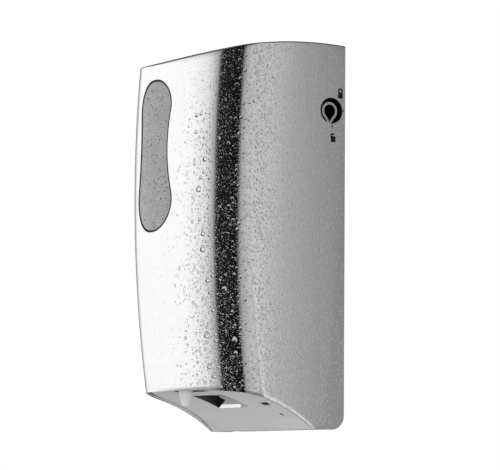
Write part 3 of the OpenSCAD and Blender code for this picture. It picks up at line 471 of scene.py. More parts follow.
def water():
    """Clear water."""
    made, lay, place = new_finish("water_drop")
    lay(
        Base_Color=place.noise(300).mix((0.95, 0.96, 0.97), (1.0, 1.0, 1.0)),
        Roughness=0.04 + 0.05 * place.noise(700),
        Transmission_Weight=1.0,
        IOR=1.33,
    )
    return made


def smoked_window():
    """Smoked plastic under a thin mist, wetter below, its drops bumped and painted as pale dots,
    which are painted highlights.
    """
    made, lay, place = new_finish("smoked_window")
    cloud = place.noise(120, 4)
    mist = drop_layer(place, 520, 0.35)
    wet_and_highlit = 1 - place.axes()[2].step(0.03, 0.09)
    # painted highlights: the mist's drops are pale dots in the colour, more of them below
    pale = 0.4 * cloud + 0.9 * mist * (0.3 + 0.7 * wet_and_highlit)
    lay(
        Base_Color=pale.mix((0.27, 0.275, 0.28), (0.66, 0.665, 0.67)),
        Roughness=0.22 + 0.2 * cloud,
        Alpha=0.9,
        Coat_Weight=0.25,
        Normal=(mist + 0.2 * place.noise(2200)).bump(0.00003),
    )
    return made


def moulding(name, light, dark, rough, grain=2600, depth=0.00003, **more):
    """Moulded plastic: a fine spark-eroded grain, faint flow marks and a satin gloss."""
    made, lay, place = new_finish(name)
    flow = place.noise(26, 4, 0.6)
    fine = place.noise(grain, 2)
    lay(
        Base_Color=(0.75 * flow + 0.25 * fine).mix(dark, light),
        Roughness=rough - 0.08 + 0.16 * fine,
        Normal=fine.bump(depth),
        **more,
    )
    return made


def milky_tank():
    """Milky blown plastic, a little paler above."""
    made, lay, place = new_finish("milky_tank")
    flow = place.noise(18, 4)
    z = place.axes()[2]
    lay(
        Base_Color=(flow * 0.7 + z * 1.6 + 0.1).mix((0.72, 0.77, 0.80), (0.90, 0.92, 0.92)),
        Roughness=0.3 + 0.15 * place.noise(900),
        Alpha=0.8,
        Normal=flow.bump(0.0004, 0.5),
    )
    return made


def brushed(name, light, dark, rough, along):
    """Bright metal with fine drawing marks along one direction."""
    made, lay, place = new_finish(name)
    lines = place.stretched(*along).noise(1, 3)
    spots = place.noise(140, 3)
    lay(
        Base_Color=(0.6 * lines + 0.4 * spots).mix(dark, light),
        Metallic=1.0,
        Roughness=rough + 0.22 * lines,
        Normal=lines.bump(0.00002),
    )
    return made


def lock_face():
    """The satin barrel: a bright collar, with painted shade, black, in the key socket and on the
    sunk head.
    """
    made, lay, place = new_finish("lock_face")
    x, y, z = place.axes()
    side = x.sum("ABSOLUTE", y + LOCK_T)
    up = z - (FOOT + LOCK_H)
    share = SOCKET_R / SOCKET_TAIL
    r = SOCKET_R + 0.3 * COLLAR_WALL
    ball = (side * side + up * up) ** 0.5 < r
    tail = ((side * math.sqrt(1 - share**2) - up * share) < r) * (up < -r * share)
    socket_shade = (ball + tail).under(1.0) * (x < LOCK_COLLAR - 0.0001)
    # painted shade: black in the key socket, on the sunk head and on all that lies deeper
    dark = (socket_shade + (x < LOCK_HEAD + 0.0004)).under(1.0)
    grain = place.noise(2400, 2)
    lay(
        Base_Color=dark.mix((0.62, 0.62, 0.63), (0.004, 0.004, 0.004)),
        Metallic=0.9 - 0.9 * dark,
        Roughness=0.28 + 0.12 * grain + 0.4 * dark,
        Normal=grain.bump(0.00002),
    )
    return made


def tray_moulding_painted_shade_light():
    """The underside's grey moulding.

    The slot and the low corner of the sensor pocket are painted dark as their shade, and a lit
    strip is painted along the pocket's back, white and glowing a little.
    """
    made, lay, place = new_finish("tray_moulding_painted_shade_light")
    x, y, z = place.axes()
    flow = place.noise(26, 4, 0.6)
    fine = place.noise(2600, 2)
    half, near = POCKET_W / 2, 0.0003        # what is nearer to a wall's plane belongs to the wall
    # height and length of the painted lit strip along the pocket's back
    painted_light_strip_h, painted_light_strip_l = 0.0022, 0.029
    inside = (x > -half - near) * (x < half + near) * (y < near - POCKET_T)
    inside = inside * (y > -POCKET_T - POCKET_D)
    up = z - FOOT
    out = x + half
    end = inside * (out < near)
    back = inside * (y > -POCKET_T - near) * (1 - end)
    # the painted shade narrows to a wedge along the back
    wedge = back * (up > 0.58 * out + POCKET_H) * (up < 0.0230 - 0.26 * out)
    slot = (x > -SLOT_W / 2) * (x < SLOT_W / 2) * (y < -SLOT_T[0]) * (y > -SLOT_T[1])
    # painted shade: the pocket's low end wall, a wedge along its back and the slot round the nozzle
    # are black
    black = end * (up < 0.0242) + wedge + slot
    # painted light: a white strip low along the pocket's back
    white = back * (up < POCKET_H + painted_light_strip_h) * (out < painted_light_strip_l) * (1 - black)
    plain = (0.75 * flow + 0.25 * fine).mix((0.60, 0.605, 0.61), (0.70, 0.705, 0.71))
    # painted shade: the pocket's back wall is a little darker
    plain = (0.12 * back).mix(plain, (0.25, 0.25, 0.25))
    # the painted shade is blackest in the pocket and greyer further forward, in the slot
    dark = y.step(-0.066, -0.050).mix((0.07, 0.07, 0.07), (0.012, 0.012, 0.012))
    lay(
        Base_Color=white.mix(black.mix(plain, dark), (0.92, 0.92, 0.92)),
        # the painted lit strip glows a little, though it is no lamp
        Emission_Color=white.mix((0.0, 0.0, 0.0), (0.4, 0.4, 0.4)),
        Emission_Strength=1.0,
        Roughness=0.42 + 0.16 * fine,
        Normal=fine.bump(0.00003),
    )
    return made


def circuit():
    """Green lacquer with paler tracks, pads and a matt weave."""
    made, lay, place = new_finish("circuit_board")
    x, y, z = place.axes()
    flat = place.node("ShaderNodeCombineXYZ", {}, {0: x, 1: z + y})
    track = place.node(
        "ShaderNodeTexBrick",
        {"offset": 0.37, "squash": 1.4, "squash_frequency": 3},
        {
            "Vector": flat, "Scale": 150.0, "Mortar Size": 0.045, "Mortar Smooth": 0.2,
            "Brick Width": 0.9, "Row Height": 0.3,
        },
        "Fac",
    )
    pad = place.cells(260, 0.25) < 0.16
    mask = (track * 0.75 + pad * 0.6).under(1.0)
    lay(
        Base_Color=mask.mix((0.012, 0.11, 0.045), (0.10, 0.30, 0.12)),
        Roughness=0.32 + 0.2 * place.noise(1500),
        Coat_Weight=0.3,
        Normal=(mask + 0.15 * place.noise(3200)).bump(0.00004),
    )
    return made


def cell_wrap():
    """A wrapped cell: dark sleeve, copper collar towards its upper end and bright steel caps."""
    made, lay, place = new_finish("cell_wrap")
    low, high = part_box("battery_cells")
    up = (place.axes()[2] - low.z) / (high.z - low.z)
    collar = up.step(0.70, 0.702)
    cap = (1 - up.step(0.022, 0.024)) + up.step(0.955, 0.957)
    scuff = place.noise(180, 4)
    sleeve = collar.mix((0.025, 0.027, 0.032), (0.62, 0.30, 0.13))
    lay(
        Base_Color=cap.under(1.0).mix(sleeve, (0.62, 0.62, 0.63)),
        Metallic=(collar * 0.85 + cap).under(1.0),
        Roughness=0.22 + 0.2 * scuff,
        Normal=scuff.bump(0.00005),
    )
    return made


def red_light():
    """The status light's dark red dome."""
    made, lay, place = new_finish("red_light")
    glow = place.noise(900, 2)
    lay(
        Base_Color=glow.mix((0.05, 0.004, 0.004), (0.10, 0.010, 0.008)),
        Roughness=0.15 + 0.1 * glow,
        Coat_Weight=0.5,
    )
    return made


def sign_ink():
    """Matt black printing ink."""
    made, lay, place = new_finish("sign_ink")
    worn = place.noise(1800, 3)
    lay(
        Base_Color=worn.mix((0.006, 0.006, 0.007), (0.02, 0.02, 0.021)),
        Roughness=0.45 + 0.2 * worn,
        Specular_IOR_Level=0.1,
    )
    return made


CHROME = wet_chrome()
WATER = water()
INK = sign_ink()
FINISHES = {
    "smoke_lens": smoked_window(),
    "grey_plastic": moulding("grey_moulding", (0.60, 0.605, 0.61), (0.52, 0.525, 0.53), 0.5),
    "dark_plastic": moulding("black_moulding", (0.028, 0.028, 0.03), (0.018, 0.018, 0.02), 0.46),
    "white_plastic": moulding(
        "white_moulding", (0.86, 0.86, 0.85), (0.78, 0.78, 0.77), 0.36, 1800, 0.00002
    ),
    "natural_plastic": moulding(
        "natural_moulding", (0.80, 0.78, 0.70), (0.70, 0.67, 0.58), 0.4, 1400, 0.00002
    ),
    "tank_plastic": milky_tank(),
    "steel": brushed("bright_steel", (0.66, 0.66, 0.67), (0.45, 0.45, 0.46), 0.2, (300, 300, 4200)),
    "brass": brushed("turned_brass", (0.80, 0.60, 0.26), (0.60, 0.42, 0.15), 0.2, (900, 900, 3800)),
    "rubber": moulding(
        "black_rubber", (0.03, 0.03, 0.03), (0.018, 0.018, 0.018), 0.75, 1500, 0.00006
    ),
    "board": circuit(),
    "black_gloss": moulding(
        "black_filter", (0.014, 0.012, 0.016), (0.006, 0.005, 0.008), 0.14, 900, 0.000004
    ),
    "light": red_light(),
    "cell_wrap": cell_wrap(),
}
OWN_FINISHES = {
    "lock_barrel": lock_face(),
    # painted shade: the lock's recess is lined near-black as the shade in it
    "lock_housing": moulding(
        "recess_lining_painted_shade", (0.006, 0.006, 0.006), (0.003, 0.003, 0.003), 0.7, Specular_IOR_Level=0.2
    ),
    "base_tray": tray_moulding_painted_shade_light(),
}
for part in frame["record"]["subparts"]:
    finish = OWN_FINISHES.get(part["node"], FINISHES.get(part["material_slot"], CHROME))
    solid = frame["nodes"][part["node"]]
    if not solid.material_slots:
        solid.data.materials.append(finish)
    for held in solid.material_slots:
        held.material = finish


# ---------------------------------------------------------------- the cover
def window_outline(name, inset, y):
    """The waisted window drawn as a closed line, in by an inset."""
    face = (0, -1, 0)
    corner_steps, waist_steps = 22, 24
    low_a = math.atan2(WAIST_H - LOBE_H[0], WAIST_X - LOBE_X[0])
    high_a = math.atan2(LOBE_H[1] - WAIST_H, WAIST_X - LOBE_X[1])
    low, high, waist = (FOOT + h for h in (LOBE_H[0], LOBE_H[1], WAIST_H))
    r = LOBE_R[0] - inset
    made = start_point(name, (LOBE_X[0] + r * math.cos(low_a), y, low + r * math.sin(low_a)))
    lobes = ((1, LOBE_X[0], low, low_a, 4), (-1, LOBE_X[1], high, high_a, 8))
    for side, flat, middle, lobe_a, steps in lobes:
        arc(math.pi / 2 + lobe_a, corner_steps, (side * flat, y, middle), face)
        for _ in range(steps):
            draw(-side * 2 * flat / steps, 0, 0)
        arc(math.pi / 2 + lobe_a, corner_steps, (-side * flat, y, middle), face)
        arc(-(low_a + high_a), waist_steps, (-side * WAIST_X, y, waist), face)
    knit()
    return made


def window_tool():
    """The window as a solid, to cut with."""
    start, length = 0.090, 0.030
    tool = window_outline("window_tool", 0.0, -start)
    bpy.ops.mesh.edge_face_add()
    draw(0, -length, 0)
    knit()
    clear_bench()
    return tool


def window_bead():
    """The black seal that lies round the window's edge, bent to the front."""
    bead = window_outline("window_bead", 0.0, 0.0)
    clear_bench()
    inner = window_outline("window_bead_inner", BEAD_W, 0.0)
    clear_bench()
    take(bead)
    inner.select_set(True)
    bpy.ops.object.join()
    bpy.ops.object.mode_set(mode="EDIT")
    bpy.context.tool_settings.mesh_select_mode = (False, True, False)
    bpy.ops.mesh.select_all(action="SELECT")
    bpy.ops.mesh.bridge_edge_loops()
    bpy.ops.object.mode_set(mode="OBJECT")
    for point in bead.data.vertices:
        turn = math.asin(point.co.x / (FRONT_R - SKIN))
        point.co.y = front_point(turn, point.co.z - FOOT, BEAD_BACK)[0].y
    bpy.ops.object.mode_set(mode="EDIT")
    knit()
    clear_bench()
    apply_modifier(bead, "SOLIDIFY", thickness=LENS_BACK - BEAD_BACK - BEAD_CLEAR, offset=-1.0)
    ease_edges(bead, 0.00012, 50)
    smooth(bead)
    return bead


def cover_skin(name, inset, under, ease):
    """One face of the cover.

    Its plan is drawn round and pulled up in rows, eased over, and roofed from front to back.
    """
    rows, turns, fan = 76, 5, 6              # of the wall, of its eased edge, of the roof's front
    scoop_steps, corner_steps, front_steps = 14, 20, 68
    half = COVER_HALF - inset
    made = start_point(name, (half, -BACK_GAP, FOOT))
    # depths of a side's columns: close on the round corner, over the flat and up the scoop
    reach = HINGE_T - BACK_GAP
    stations = [HINGE_T - reach * math.cos(math.radians(a)) for a in range(0, 91, 10)]
    stations += [0.0135, 0.0165, 0.0195, 0.0225, ARCH_FOOT]
    scoop = CORNER_T - ARCH_FOOT
    stations += [ARCH_FOOT + scoop * k / scoop_steps for k in range(1, scoop_steps + 1)]
    for near, far in zip(stations, stations[1:]):
        draw(0, near - far, 0)
    arc(math.pi / 2 - CORNER_A, corner_steps, (CORNER_X, -CORNER_T, FOOT), (0, 0, 1))
    arc(2 * CORNER_A, front_steps, (0, -FRONT_C, FOOT), (0, 0, 1))
    arc(math.pi / 2 - CORNER_A, corner_steps, (-CORNER_X, -CORNER_T, FOOT), (0, 0, 1))
    for near, far in reversed(list(zip(stations, stations[1:]))):
        draw(0, far - near, 0)
    bpy.ops.mesh.select_all(action="SELECT")
    for _ in range(rows + turns):
        draw(0, 0, COVER_H / rows)

    # the roof is pulled from the upper edge of the front and corners
    top = FOOT + COVER_H / rows * (rows + turns)
    choose_edges(
        made, lambda e: all(p.co.z > top - 1e-5 and -p.co.y > CORNER_T - 1e-6 for p in e.verts)
    )
    for _ in range(fan + len(stations) - 1):
        draw(0, 0, COVER_H / rows)
    bpy.ops.object.mode_set(mode="OBJECT")

    def column(x, plan_t):
        """Plan direction of a column, and whether it stands in a side wall."""
        if abs(abs(x) - half) < 1e-6 and plan_t < CORNER_T + 1e-6:
            return math.copysign(math.pi / 2, x), True
        if abs(x) <= (FRONT_R - inset) * math.sin(CORNER_A) + 1e-7:
            return math.asin(x / (FRONT_R - inset)), False
        return math.atan2(x - math.copysign(CORNER_X, x), plan_t - CORNER_T), False

    drop = under + ease
    eased = [row_point(t, 1.0, True, drop)[0] for t in stations]
    for point in made.data.vertices:
        x, plan_t = point.co.x, -point.co.y
        row = round((point.co.z - FOOT) / COVER_H * rows)
        turn, on_side = column(x, plan_t)
        t, height = row_point(plan_t, min(1.0, row / rows), on_side, drop)
        if row > rows:
            roll = math.radians(90 * min(1.0, (row - rows) / turns))
            back = ease * (1 - math.cos(roll))
            x, t = x - back * math.sin(turn), t - back * math.cos(turn)
            height += ease * math.sin(roll)
        if row >= rows + turns:
            step = row - rows - turns
            if step > fan:
                t = eased[len(stations) - 1 - (step - fan)]
            elif step:
                t += (eased[-1] - t) * step / fan
            height = crown(t) - under
        point.co = (x, -t, FOOT + height)
    bpy.ops.object.mode_set(mode="EDIT")
    knit(0.000004)
    clear_bench()
    return made


def cover_shell():
    """The bowed, arched shell: two skins joined along the rim, with its window and lock hole."""
    shell = cover_skin("cover_shell", inset=SKIN, under=0.00003, ease=0.0012)
    lining = cover_skin("cover_lining", inset=WALL, under=WALL, ease=0.0008)
    take(lining)
    bpy.ops.object.mode_set(mode="EDIT")
    bpy.ops.mesh.select_all(action="SELECT")
    bpy.ops.mesh.flip_normals()
    take(shell)
    lining.select_set(True)
    bpy.ops.object.join()
    bpy.ops.object.mode_set(mode="EDIT")
    choose_edges(shell, lambda e: e.is_boundary)
    bpy.ops.mesh.bridge_edge_loops()
    bpy.ops.mesh.select_all(action="SELECT")
    bpy.ops.mesh.normals_make_consistent(inside=False)
    clear_bench()
    ease_edges(shell, 0.0003, 60)
    cut_away(shell, window_tool())
    clear_bench()
    bpy.ops.mesh.primitive_cylinder_add(
        vertices=96, radius=RECESS_R, depth=0.010,
        location=(COVER_HALF, -LOCK_T, FOOT + LOCK_H), rotation=FACING_SIDE,
    )
    hole = named("lock_hole_tool")
    choose_edges(hole, lambda e: all(p.co.x < COVER_HALF for p in e.verts))
    bpy.ops.mesh.bevel(offset=0.0002, segments=1)
    clear_bench()
    cut_away(shell, hole)
    return shell


def ring_boss(name, x0, x1, t, height, inner, outer):
    """A boss along X with a bore, turned from its section and eased at its rims."""
    made = start_point(name, (x0, -t - inner, FOOT + height))
    draw(x1 - x0, 0, 0)
    draw(0, inner - outer, 0)
    draw(x0 - x1, 0, 0)
    draw(0, outer - inner, 0)
    knit()
    arc(2 * math.pi, 48, (0, -t, FOOT + height), (1, 0, 0))
    knit()
    clear_bench()
    ease_edges(made, 0.0003, 60)
    smooth(made)
    return made


shell = cover_shell()
smooth(shell, 34)
put_on(shell, "cover", CHROME)
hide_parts("front_cover")
put_on(window_bead(), "cover", FINISHES["rubber"])
BOSS_ROOT = COVER_HALF - WALL + 0.0003       # bosses and rivets stand a little in the wall
BOSS_END, BOSS_R = 0.0621, 0.005
for name, side in (("hinge_boss_left", -1), ("hinge_boss_right", 1)):
    boss = ring_boss(name, side * BOSS_ROOT, side * BOSS_END, HINGE_T, HINGE_H, PIN_R, BOSS_R)
    put_on(boss, "cover", FINISHES["grey_plastic"])
RIVET_END = COVER_HALF - WALL - 0.0032
RIVET_T = LOCK_T + RECESS_R + 0.0014 + 0.0043        # 4.3 mm past the housing's wall
RIVET_BORE, RIVET_R = 0.0005, 0.0015
for name, up in (("lock_rivet_low", -0.0065), ("lock_rivet_high", 0.0065)):
    rivet = ring_boss(name, BOSS_ROOT, RIVET_END, RIVET_T, LOCK_H + up, RIVET_BORE, RIVET_R)
    put_on(rivet, "cover", FINISHES["steel"])


# ---------------------------------------------------------------- rim of the tray
def tray_rim():
    """The rim under the tray's back: flush with the cover's edge, running out up the scoop."""
    half, back = 0.0646, 0.0042              # half its width, and its depth at the back
    low, high = 0.0003, TRAY_INSET + 0.00002
    steps, step_a = 8, 0.7                   # of the run up the scoop, in degrees
    notch_x, notch_size = 0.061, (0.0112, 0.0164, 0.008)
    rise = math.asin((low - ARCH_C) / (ARCH_R + low))

    def on_scoop(k, over, least):
        """A point of the run, so far over the scoop."""
        r, a = ARCH_R + over, rise + math.radians(step_a * k)
        return ARCH_T - r * math.cos(a), max(ARCH_C + r * math.sin(a), least)

    foot = ARCH_T - math.sqrt((ARCH_R + low) ** 2 - (low - ARCH_C) ** 2)
    path = [(back, high), (back, low), (foot, low)]
    path += [on_scoop(k, low + (high - low) * (k / steps) ** 2, low) for k in range(1, steps + 1)]
    path += [on_scoop(k, high, high) for k in range(steps - 1, -1, -1)]
    path.append(path[0])
    made = start_point("tray_rim", (-half, -path[0][0], FOOT + path[0][1]))
    for here, there in zip(path, path[1:]):
        draw(0, here[0] - there[0], there[1] - here[1])
    knit()
    bpy.ops.mesh.edge_face_add()
    draw(2 * half, 0, 0)
    knit()
    for side in (-1, 1):
        clear_bench()
        bpy.ops.mesh.primitive_cube_add(size=1, location=(side * notch_x, -HINGE_T, FOOT))
        bpy.context.object.scale = notch_size
        notch = named("hinge_notch")
        clear_bench()
        cut_away(made, notch)
    ease_edges(made, 0.0002, 40)
    smooth(made)
    put_on(made, "chassis", OWN_FINISHES["base_tray"])


tray_rim()


# ---------------------------------------------------------------- lock signs
SIGN_X = HALF_W + 0.00001
INK_D = 0.00005


def press():
    """Gives the flat sign in work, on the side wall, its thin body of ink."""
    knit()
    draw(INK_D, 0, 0)
    knit()
    clear_bench()


def ink_block(name, t, height, wide, tall, ease):
    """An upright rectangle of ink with eased corners."""
    clear_bench()
    bpy.ops.mesh.primitive_plane_add(
        size=1, location=(SIGN_X, -t, FOOT + height), rotation=FACING_SIDE
    )
    bpy.context.object.scale = (tall, wide, 1)
    made = named(name)
    bpy.ops.mesh.bevel(offset=ease, segments=3, affect="VERTICES")
    press()
    return made


def padlock(name, t, height, open_turn):
    """A plain padlock sign: a block with eased corners under a bent shackle."""
    block_w, block_h, bar, loop = 0.0037, 0.0041, 0.00055, 0.00125
    gap, leg, stub = 0.00005, 0.0011, 0.0002
    block = ink_block(name, t, height, block_w, block_h, 0.00035)
    top = FOOT + height + block_h / 2
    shackle = start_point(name + "_shackle", (SIGN_X, -t - loop - bar, top + gap))
    draw(0, 2 * bar, 0)
    bpy.ops.mesh.select_all(action="SELECT")
    draw(0, 0, leg)
    arc(math.pi, 14, (SIGN_X, -t, top + gap + leg), (1, 0, 0))
    draw(0, 0, -stub if open_turn else -leg)
    if open_turn:
        bpy.ops.mesh.select_all(action="SELECT")
        bpy.ops.transform.rotate(
            value=open_turn, orient_axis="X", center_override=(SIGN_X, -t + loop, top)
        )
    press()
    take(block)
    shackle.select_set(True)
    bpy.ops.object.join()
    put_on(block, "cover", INK)


padlock("sign_locked", 0.0050, 0.2265, 0.0)
padlock("sign_unlocked", 0.0107, 0.1964, math.radians(-38))
for name, t, height, wide, tall in (
    ("tick_locked", 0.0026, 0.2162, 0.0013, 0.0009),
    ("tick_unlocked", 0.0115, 0.2052, 0.0009, 0.0020),
):
    put_on(ink_block(name, t, height, wide, tall, 0.0002), "cover", INK)


# ---------------------------------------------------------------- drops of water
def dome(sides, rings):
    """One drop: the upper cap of a ball, as points and faces of unit size."""
    cut = 0.3
    clear_bench()
    bpy.ops.mesh.primitive_uv_sphere_add(segments=sides, ring_count=rings, radius=1.0)
    drop = named("drop_form")
    bpy.ops.mesh.bisect(plane_co=(0, 0, cut), plane_no=(0, 0, 1), clear_inner=True)
    bpy.ops.mesh.select_all(action="SELECT")
    bpy.ops.transform.translate(value=(0, 0, -cut))
    knit(0.001)
    clear_bench()
    points = [p.co.copy() for p in drop.data.vertices]
    faces = [tuple(f.vertices) for f in drop.data.polygons]
    wide = max(math.hypot(p.x, p.y) for p in points)
    tall = max(p.z for p in points)
    bpy.data.objects.remove(drop)
    return [Vector((p.x / wide, p.y / wide, p.z / tall)) for p in points], faces


FINE_DROP, FULL_DROP = dome(6, 6), dome(10, 10)
FULL_FROM = 0.00045      # radius from which a drop gets the full form
SAG_FROM = 0.001         # radius from which a drop sags fully
SUNK = 0.00001           # how far a drop's edge lies in the face
SPRAY_TOP = 0.259        # no drop is higher
EASED_TOP = 0.0014       # room under the top for its eased edge
FLATTEST = 0.2           # least height of a drop, for its radius
APART = 1.04             # least distance of two drops, for the sum of their radii
SIGNS_T = 0.0145         # the lock's signs lie within this depth and between these heights
SIGNS_H = (0.192, 0.234)


class Spray:
    """Drops that have settled on a face, none on top of another."""

    CELL = 0.004         # of the grid in which a drop looks for its neighbours

    def __init__(self, seed):
        self.chance = random.Random(seed)
        self.points, self.faces, self.taken = [], [], {}

    def claim(self, spot, r):
        """Whether a drop has room here. Where it has, the room is taken."""
        home = tuple(int(math.floor(c / self.CELL)) for c in spot)
        for shift in product((-1, 0, 1), repeat=3):
            for other, s in self.taken.get(tuple(c + d for c, d in zip(home, shift)), ()):
                if (other - spot).length < (r + s) * APART:
                    return False
        self.taken.setdefault(home, []).append((spot, r))
        return True

    def settle(self, spot, normal, r, tall, long):
        """Adds a drop, a little longer than wide, where it has room and stays in the box."""
        if not self.claim(spot, r * long):
            return
        across = Vector((0, 0, 1)).cross(normal).normalized()
        up = normal.cross(across)
        # how tall it may stand before it leaves the box
        room = [(edge - abs(c)) / max(abs(n), 0.05) for edge, c, n in zip(BOX_ROOM, spot, normal)]
        tall = min(tall, *room)
        if tall < FLATTEST * r:
            return
        skew = self.chance.uniform(0.9, 1.12)
        form, faces = FULL_DROP if r > FULL_FROM else FINE_DROP
        drop = []
        for p in form:
            sag = 1.0 - 0.12 * p.y * min(1.0, r / SAG_FROM)
            out = across * (p.x * r * skew * sag)
            drop.append(spot + out + up * (p.y * r * long) + normal * (p.z * tall - SUNK))
        if any(abs(p.x) > BOX_ROOM[0] or -p.y > BOX_ROOM[1] for p in drop):
            return
        first = len(self.points)
        self.points += drop
        self.faces += [tuple(first + i for i in f) for f in faces]

    def piece(self, name):
        """Makes one piece of all the drops."""
        mesh = bpy.data.meshes.new(name)
        mesh.from_pydata(self.points, [], self.faces)
        made = bpy.data.objects.new(name, mesh)
        scene.collection.objects.link(made)
        take(made)
        bpy.ops.object.shade_smooth()
        clear_bench()
        put_on(made, "cover", WATER)


def drop_size(chance, most, usual):
    """Radius of a drop: the usual one or more, up to the most."""
    return min(most, usual * math.exp(abs(chance.gauss(0, 0.55))))


def off_the_rims(t, height, r):
    """Whether a drop keeps off the cover's lower edge and its eased top."""
    return lower_edge(t) + 1.3 * r < height < crown(t) - EASED_TOP - r


def spray_front(name, seed, count, first, last):
    """Drops over a stretch of the front.

    On the right come full ones first, the boldest near the corner. Fine ones are few on the
    left and above.
    """
    spray = Spray(seed)
    for number in range(count):
        full = last > 0 and number < count / 10
        bold = last > 0 and number < count / 60
        run = spray.chance.uniform(first, last)
        if full:
            run = last - abs(spray.chance.gauss(0, 0.007 if bold else 0.014))
        turn = turn_at(run)
        height = spray.chance.uniform(0.02, SPRAY_TOP)
        right = min(1.0, max(0.0, 0.5 + 0.5 * run / FRONT_EDGE))
        low = min(1.0, max(0.0, (0.255 - height) / 0.12))
        if full:
            often = 1.0 if height < 0.10 or 0.165 < height < 0.220 else 0.4
            most, usual = (0.0022, 0.0009) if bold else (0.0012, 0.0005)
            r = drop_size(spray.chance, most, usual) * low**0.5
            tall = spray.chance.uniform(0.3, 0.4) + 0.2 * right**6
        else:
            often = 0.01 + 0.99 * max(0.4 * right**4, low * (0.02 + 0.98 * right**3.5))
            most, usual = 0.0003 + 0.0008 * right**3 * low, 0.0002 + 0.00042 * right**3 * low
            r = drop_size(spray.chance, most, usual)
            tall = spray.chance.uniform(0.12, 0.20) + 0.14 * right**5
        if spray.chance.random() > often:
            continue
        spot, normal = front_point(turn, height)
        if not off_the_rims(-spot.y, height, r):
            continue
        if in_window(spot.x, height, 0.0006 + r):
            continue
        spray.settle(spot, normal, r, r * tall, spray.chance.uniform(1.0, 1.2))
    spray.piece(name)


def spray_corner(name, seed, side):
    """Drops over a rounded corner: a few large, some full towards the side, many fine."""
    spray = Spray(seed)
    back = FRONT_EDGE + 0.4 * (CORNER_EDGE - FRONT_EDGE)
    for count, first, usual, most, long in (
        (70, FRONT_EDGE, 0.0008, 0.0020, 1.25),
        (220, back, 0.0006, 0.0013, 1.2),
        (2700, FRONT_EDGE, 0.00022, 0.0006, 1.15),
    ):
        for _ in range(count):
            turn = turn_at(side * spray.chance.uniform(first, CORNER_EDGE))
            height = spray.chance.uniform(0.004, SPRAY_TOP)
            # the large ones grow fewer with height
            if first < back and most > 0.001 and spray.chance.random() < height / 0.30:
                continue
            r = drop_size(spray.chance, most, usual)
            spot, normal = front_point(turn, height)
            if not off_the_rims(-spot.y, height, r):
                continue
            tall = spray.chance.uniform(0.34, 0.52) + (0.1 if first == back else 0)
            spray.settle(spot, normal, r, r * tall, spray.chance.uniform(1.0, long))
    spray.piece(name)


def spray_side(name, seed, side):
    """Fine flat drops over a side wall, fewer and smaller towards the wall."""
    spray = Spray(seed)
    for _ in range(3000):
        near = spray.chance.random() ** 0.4
        if near < 0.5 and spray.chance.random() < 0.7:
            continue
        t = BACK_GAP + 0.0015 + near * (CORNER_T - 0.004)
        height = spray.chance.uniform(0.002, SPRAY_TOP)
        r = drop_size(spray.chance, 0.00025 + 0.0007 * near**4, 0.00015 + 0.00026 * near**4)
        r *= 1 + 0.7 * max(0.0, 1 - height / 0.11) * near
        if t > bowed(CORNER_T, height) or not off_the_rims(t, height, r):
            continue
        # the lock and its signs stay free
        if side > 0 and math.hypot(t - LOCK_T, height - LOCK_H) < RECESS_R + 0.001 + r:
            continue
        if side > 0 and t < SIGNS_T and SIGNS_H[0] < height < SIGNS_H[1]:
            continue
        spot = Vector((side * HALF_W, -t, FOOT + height))
        spray.settle(spot, Vector((side, 0, 0)), r, 0.36 * r, spray.chance.uniform(1.0, 1.2))
    spray.piece(name)


def spray_window():
    """Drops on the window, which lies a little behind the front."""
    spray = Spray(31)
    for _ in range(360):
        x = spray.chance.uniform(-0.024, 0.024)
        height = spray.chance.uniform(0.134, 0.239)
        r = drop_size(spray.chance, 0.0007, 0.00028)
        if not in_window(x, height, -0.0016 - r):
            continue
        spot, normal = front_point(math.asin(x / (FRONT_R - SKIN)), height, LENS_BACK - SKIN)
        spray.settle(spot, normal, r, 0.3 * r, 1.1)
    spray.piece("window_drops")


spray_front("front_drops_left", 7, 3400, -FRONT_EDGE, 0.0)
spray_front("front_drops_right", 8, 4600, 0.0, FRONT_EDGE)
spray_corner("corner_drops_right", 11, 1)
spray_corner("corner_drops_left", 12, -1)
spray_side("side_drops_right", 19, 1)
spray_side("side_drops_left", 20, -1)
spray_window()


# ---------------------------------------------------------------- studio
MIDDLE = Vector((0, -0.05, 0))       # what camera and lamps look at


